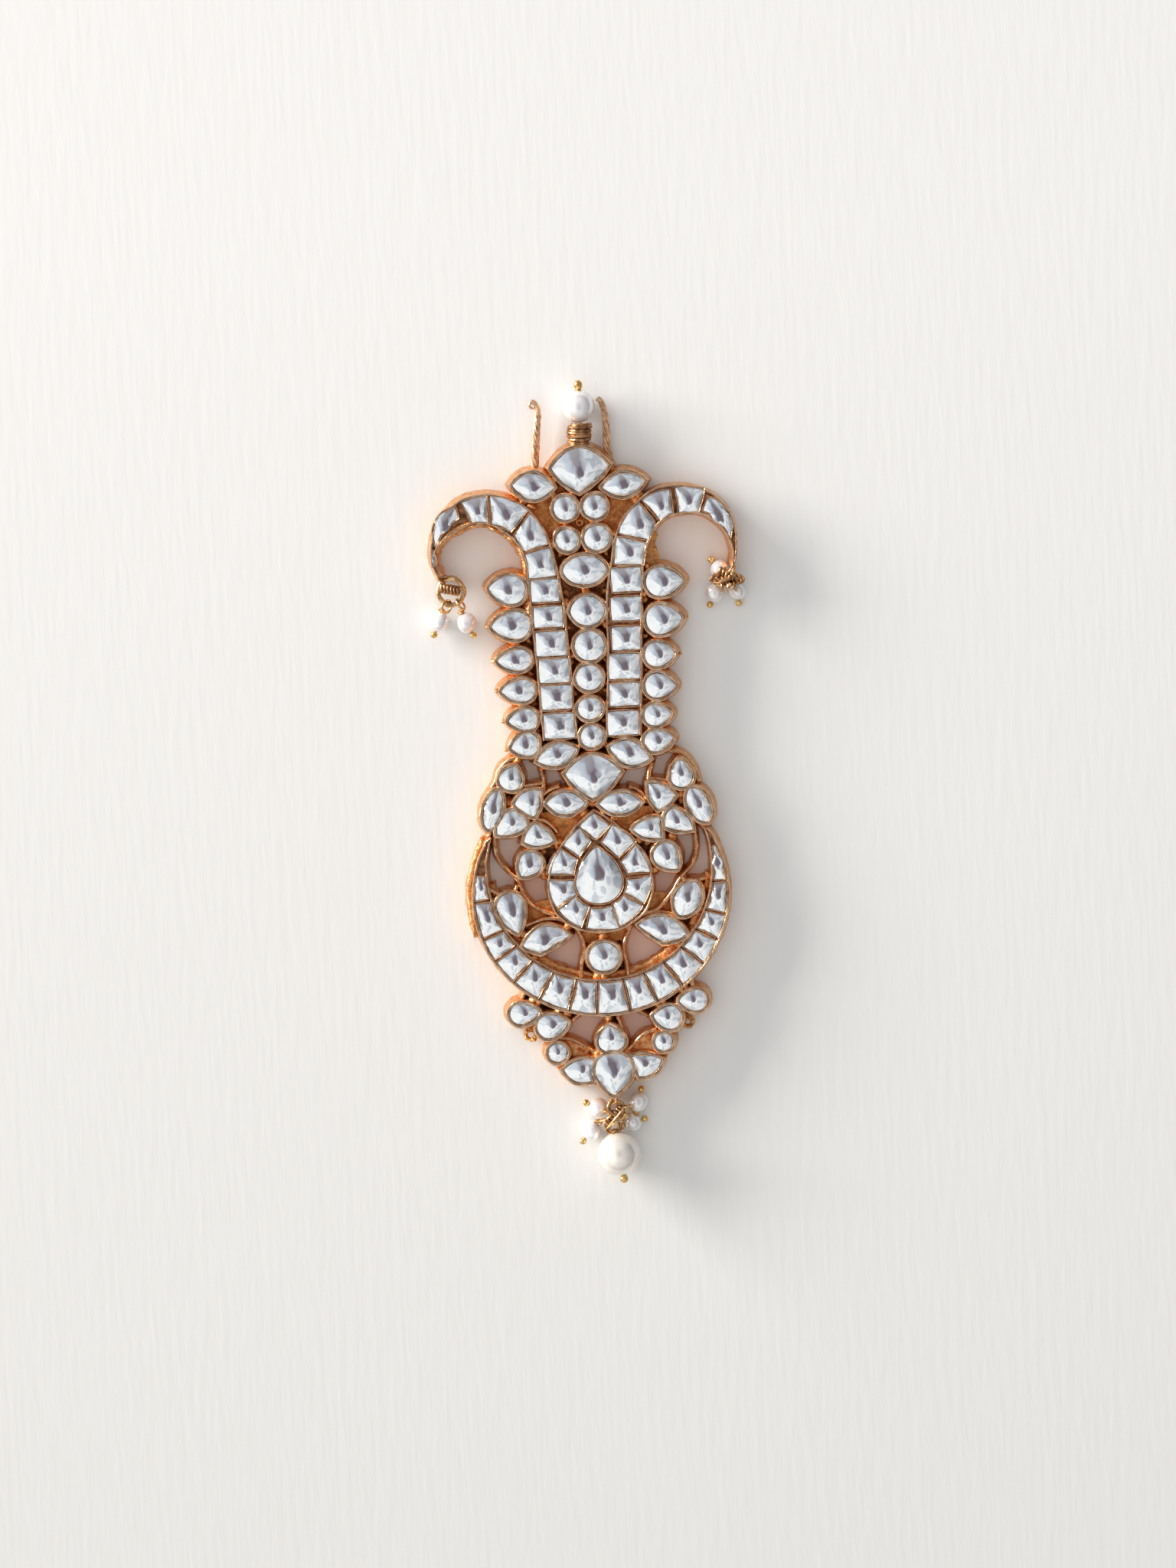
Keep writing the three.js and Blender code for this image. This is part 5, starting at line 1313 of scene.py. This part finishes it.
def cut_stone(bm, outline, corners=SMALL_STONE_CORNERS):
    """A flat-backed stone: its girdle, then a crown of large uneven facets that rounds off to a dome."""
    edge = grown(outline, -STONE_GAP)
    rise = CROWN_SLOPE * math.sqrt(abs(signed_area(edge)) / math.pi)
    cx, cy = middle_of(edge)
    mean = sum(math.dist(p, (cx, cy)) for p in edge) / len(edge)
    run = new_run(bm, at_height(edge, RIM_HEIGHT - SEAT_DEPTH + STONE_FOOT))
    cap(bm, run)
    run = drawn(bm, run, at_height(edge, GIRDLE))
    for level, (share, lift, uneven) in enumerate(CROWN):
        shape = shrunk(edge, share)
        if uneven:
            shape = facet_points(edge, share, corners, 0.5 * (level % 2), uneven)
        rounding = min(1, (1 - share) * DOME)
        shape = [(cx + (x - cx) * (1 + rounding * (mean * share / math.dist((x, y), (cx, cy)) - 1)),
                  cy + (y - cy) * (1 + rounding * (mean * share / math.dist((x, y), (cx, cy)) - 1)))
                 for x, y in shape]
        run = drawn(bm, run, at_height(shape, GIRDLE + rise * lift))
    cap(bm, run)


def loose_stones():
    outlines = [(name, cut_outline(*cut), 10) for name, *cut in MAIN_STONES]
    outlines += [(name, corner_outline(corners, rise), 9) for name, corners, rise in FAN_STONES]
    for name, outline, corners in outlines:
        bm = bmesh.new()
        cut_stone(bm, outline, corners)
        finished(name + "_cut", bm, (GLASS,), "foiled_glass", name, sharp=FACET_ANGLE)


def set_stones():
    bm = bmesh.new()
    outlines = [cut_outline(*stone) for stone in SMALL_STONES]
    outlines += [corner_outline(*stone) for stone in LEAF_STONES]
    outlines += channel_outlines()
    for outline in outlines:
        cut_stone(bm, outline)
    finished("set_stones", bm, (GLASS,), "foiled_glass", sharp=FACET_ANGLE)


# ---------------------------------------------------------------- pearls and wires
def pearls():
    bm = bmesh.new()
    bead(bm, place(FINIAL["x"], FINIAL["y"], NECK["z"]), FINIAL["radius"], Vector((0, 1, 0)),
         dimple=FINIAL["hole"], steps=48)
    roughened(bm.verts, *FINIAL_SKIN)
    finished("finial_pearl_round", bm, (SMALL_PEARL,), "pearl", "finial_pearl", sharp=60)
    for name, at, radius, towards, *_ in DROPS:
        bm = bmesh.new()
        large = radius > LARGE_PEARL_OVER
        along = (place(*towards) - place(*at)).normalized()
        bead(bm, place(*at), radius, along, dimple=PEARL_HOLE, steps=48 if large else 36)
        roughened(bm.verts, *(LARGE_SKIN if large else SMALL_SKIN))
        finish = LARGE_PEARL if large else SMALL_PEARL
        finished("pearl_" + name + "_round", bm, (finish,), "pearl", "pearl_" + name, sharp=60)


def head_pin(name, pearl_at, radius, towards, eye, eye_radius, normal):
    """A bent head pin: ball, shank through the pearl, a few wraps, and an eye."""
    bm = bmesh.new()
    centre, flat = place(*pearl_at), Vector(normal).normalized()
    along = (place(*towards) - centre).normalized()
    ball_at = centre + along * (radius + BALL_RADIUS + BALL_GAP) * MM
    out = centre - along * (radius + PIN_BEND) * MM
    to_eye = out - place(*eye)
    to_eye = (to_eye - flat * to_eye.dot(flat)).normalized()
    meets = place(*eye) + to_eye * eye_radius * MM
    ball = BALL_RADIUS * (BALL_STRETCH if radius > LARGE_PEARL_OVER else 1)
    bead(bm, ball_at, ball, along, steps=BALL_STEPS, finish=BALL)
    swept(bm, [ball_at, centre, out], PIN_WIRE)
    bend = out - along * PIN_KINK * MM
    swept(bm, [out, bend.lerp(meets, PIN_KINK), meets], PIN_WIRE)
    hoop(bm, place(*eye), eye_radius, eye_radius, PIN_WIRE, normal)
    side = along.orthogonal().normalized()
    wraps = []
    steps = WRAPS * WRAP_STEPS
    for i in range(steps + 1):
        a = 2 * math.pi * i / WRAP_STEPS
        reach = (side * math.cos(a) + along.cross(side) * math.sin(a)) * WRAP_RADIUS
        wraps.append(out + (reach + along * (WRAP_FROM + WRAP_LENGTH * i / steps)) * MM)
    swept(bm, wraps, PIN_WIRE, sides=6)
    finished("head_pin_" + name, bm, WIRES, "pale_gold", "pin_" + name)


def links():
    for name, at, (rx, ry), wire, normal in LINKS:
        bm = bmesh.new()
        hoop(bm, place(*at), rx, ry, wire, normal, steps=48)
        roughened(bm.verts, 0.12, 1.5)
        finished(name + "_wire", bm, WIRES, "pale_gold", name)


def coil(bm, start, end, radius, wire, turns):
    """A short coil of wire round the line between two points."""
    start, end = place(*start), place(*end)
    way = (end - start).normalized()
    side = way.orthogonal().normalized()
    path = []
    for i in range(COIL_STEPS * turns + 1):
        a = 2 * math.pi * i / COIL_STEPS
        reach = (side * math.cos(a) + way.cross(side) * math.sin(a)) * radius * MM
        path.append(start.lerp(end, i / (COIL_STEPS * turns)) + reach)
    swept(bm, path, wire)


def knot(bm, middle, radius, loops):
    """A tight knot of wire: loops about one place, each tilted another way."""
    for k in range(loops):
        turn = KNOT_TURN * k
        tilt = (math.sin(turn), KNOT_TILT[0] * math.cos(turn), KNOT_TILT[1])
        aside = Vector((math.cos(turn), math.sin(turn), KNOT_LIFT * (k % 3 - 1)))
        at = Vector(middle) + aside * radius * KNOT_SPREAD
        rx, ry = KNOT_LONG + KNOT_VARY * (k % 3), KNOT_SHORT + KNOT_VARY * (k % 2)
        hoop(bm, place(*at), rx * radius, ry * radius, KNOT_WIRE, tilt)


def coils():
    """The coils and knots wound round the links and the claws that close them."""
    bm = bmesh.new()
    for wound in COILS:
        coil(bm, *wound)
    for wound in KNOTS:
        knot(bm, *wound)
    for points, wire in CLAWS:
        swept(bm, [place(*p) for p in smooth_line(points, 6)], wire)
    roughened(bm.verts, 0.1, 0.9)
    finished("coils", bm, (COIL,), "pale_gold", sharp=60)


# ---------------------------------------------------------------- stage, light and camera
def staged_plane(name, size, height, surface, turn=0.0):
    bpy.ops.mesh.primitive_plane_add(size=size, location=(0, 0, height), rotation=(0, 0, math.radians(turn)))
    plane = bpy.context.object
    plane.name = name
    plane.data.materials.append(surface)
    return plane


def along_stops(tree, source, stops):
    """A ramp on a value in metres."""
    low, high = stops[0][0], stops[-1][0]
    shares = levels(tree, source, 0.0, 1.0, low, high)
    greys = ((at, value if isinstance(value, tuple) else (value,) * 3) for at, value in stops)
    return ramp(tree, shares, *(((at - low) / (high - low), colour) for at, colour in greys))


def reflected_stand():
    """A dark stand by the camera, seen only as a soft-edged reflection in the stones and the rims."""
    made = bpy.data.materials.new("stand_grey")
    made.use_nodes = True
    tree = made.node_tree
    tree.nodes.clear()
    across, along, _ = separated(tree)
    half = along_stops(tree, along, STAND_HALF)
    inside = calculated(tree, "SUBTRACT", half, calculated(tree, "ABSOLUTE", across))
    mask = levels(tree, inside, 0.0, 1.0, -STAND_SOFT, STAND_SOFT)
    mask = calculated(tree, "MULTIPLY", mask, along_stops(tree, along, STAND_FADE))
    glow = add(tree, "ShaderNodeEmission", Strength=1.0)
    tree.links.new(along_stops(tree, across, STAND_TINTS), glow.inputs["Color"])
    mix = add(tree, "ShaderNodeMixShader")
    tree.links.new(mask, mix.inputs[0])
    tree.links.new(add(tree, "ShaderNodeBsdfTransparent").outputs[0], mix.inputs[1])
    tree.links.new(glow.outputs[0], mix.inputs[2])
    tree.links.new(mix.outputs[0], add(tree, "ShaderNodeOutputMaterial").inputs["Surface"])
    stand = staged_plane("reflected_stand", STAND_SIZE, STAND_HEIGHT, made, STAND_LEAN)
    stand.visible_camera = stand.visible_diffuse = stand.visible_shadow = stand.visible_transmission = False


def daylight():
    """A white room, greyer at the far side, with a broad window to the left."""
    world = bpy.data.worlds.new("white_room")
    bpy.context.scene.world = world
    world.use_nodes = True
    tree = world.node_tree
    x, y, z = separated(tree, "Generated")
    away = ramp(tree, levels(tree, y, 0.0, 1.0, -0.15, 0.75), *ROOM_AWAY)
    right = ramp(tree, levels(tree, x, 0.0, 1.0, -1.0, 1.0), *ROOM_RIGHT)
    shaded = multiplied(tree, multiplied(tree, away, right), ramp(tree, z, *ROOM_HIGH))
    things = add(tree, "ShaderNodeTexNoise", Scale=3.4, Detail=1.0, Roughness=0.4)
    tree.links.new(add(tree, "ShaderNodeTexCoord").outputs["Generated"], things.inputs["Vector"])
    cluttered = multiplied(tree, shaded, ramp(tree, things.outputs["Fac"], *ROOM_CLUTTER))
    background = tree.nodes["Background"]
    tree.links.new(cluttered, background.inputs["Color"])
    background.inputs["Strength"].default_value = ROOM_LIGHT
    window = bpy.data.lights.new("window", "AREA")
    window.shape = "RECTANGLE"
    window.size, window.size_y = WINDOW["size"]
    window.energy = WINDOW["watts"]
    window.color = WINDOW["tint"]
    lamp = linked("window", window)
    lamp.location = WINDOW["at"]
    lamp.rotation_mode = "QUATERNION"
    lamp.rotation_quaternion = (-Vector(lamp.location)).to_track_quat("-Z", "Y")


def camera():
    """Nearly overhead, a little towards the finial, and turned so that the ornament leans to the left."""
    lens = bpy.data.cameras.new("camera")
    lens.lens, lens.sensor_width = CAMERA["lens"], CAMERA["sensor"]
    lens.clip_start, lens.clip_end = CAMERA["clip"]
    elevation, lean = math.radians(CAMERA["elevation"]), math.radians(CAMERA["lean"])
    back = Vector((0, math.cos(elevation), math.sin(elevation)))
    up = Vector((math.sin(lean), math.cos(lean), 0))
    right = up.cross(back).normalized()
    up = back.cross(right)
    turn = Matrix((right, up, back)).transposed().to_4x4()
    eye = linked("camera", lens)
    eye.matrix_world = Matrix.Translation(place(*CAMERA["target"]) + back * CAMERA["distance"]) @ turn
    bpy.context.scene.camera = eye
    bpy.context.scene.view_settings.view_transform = "Standard"


camera()
staged_plane("board", BOARD_SIZE, BOARD_HEIGHT, board())
reflected_stand()
daylight()
settings()
side_track("left_track", LEFT_TRACK, LEFT_CELLS, LEFT_BEND, left=True)
side_track("right_track", RIGHT_TRACK, RIGHT_CELLS, RIGHT_BEND, left=False, flares=RIGHT_FLARES)
halo()
crescent()
crescent_ledges()
ribs()
sheets("grained_sheets", GRAINED_PLATES, GRAINED, 0.3)
sheets("leaf_sheets", LEAF_PLATES, GOLDS[WALL], 0.7)
# the dark sheets carry painted shade in the gaps between settings
sheets("dark_gaps", DARK_PLATES, GOLDS[SEAT], 0.4)
solder()
rough_hooks()
tabs()
wound_neck()
finial_pin()
twisted_prongs()
lugs()
loose_stones()
set_stones()
pearls()
for drop in DROPS:
    head_pin(*drop)
links()
coils()
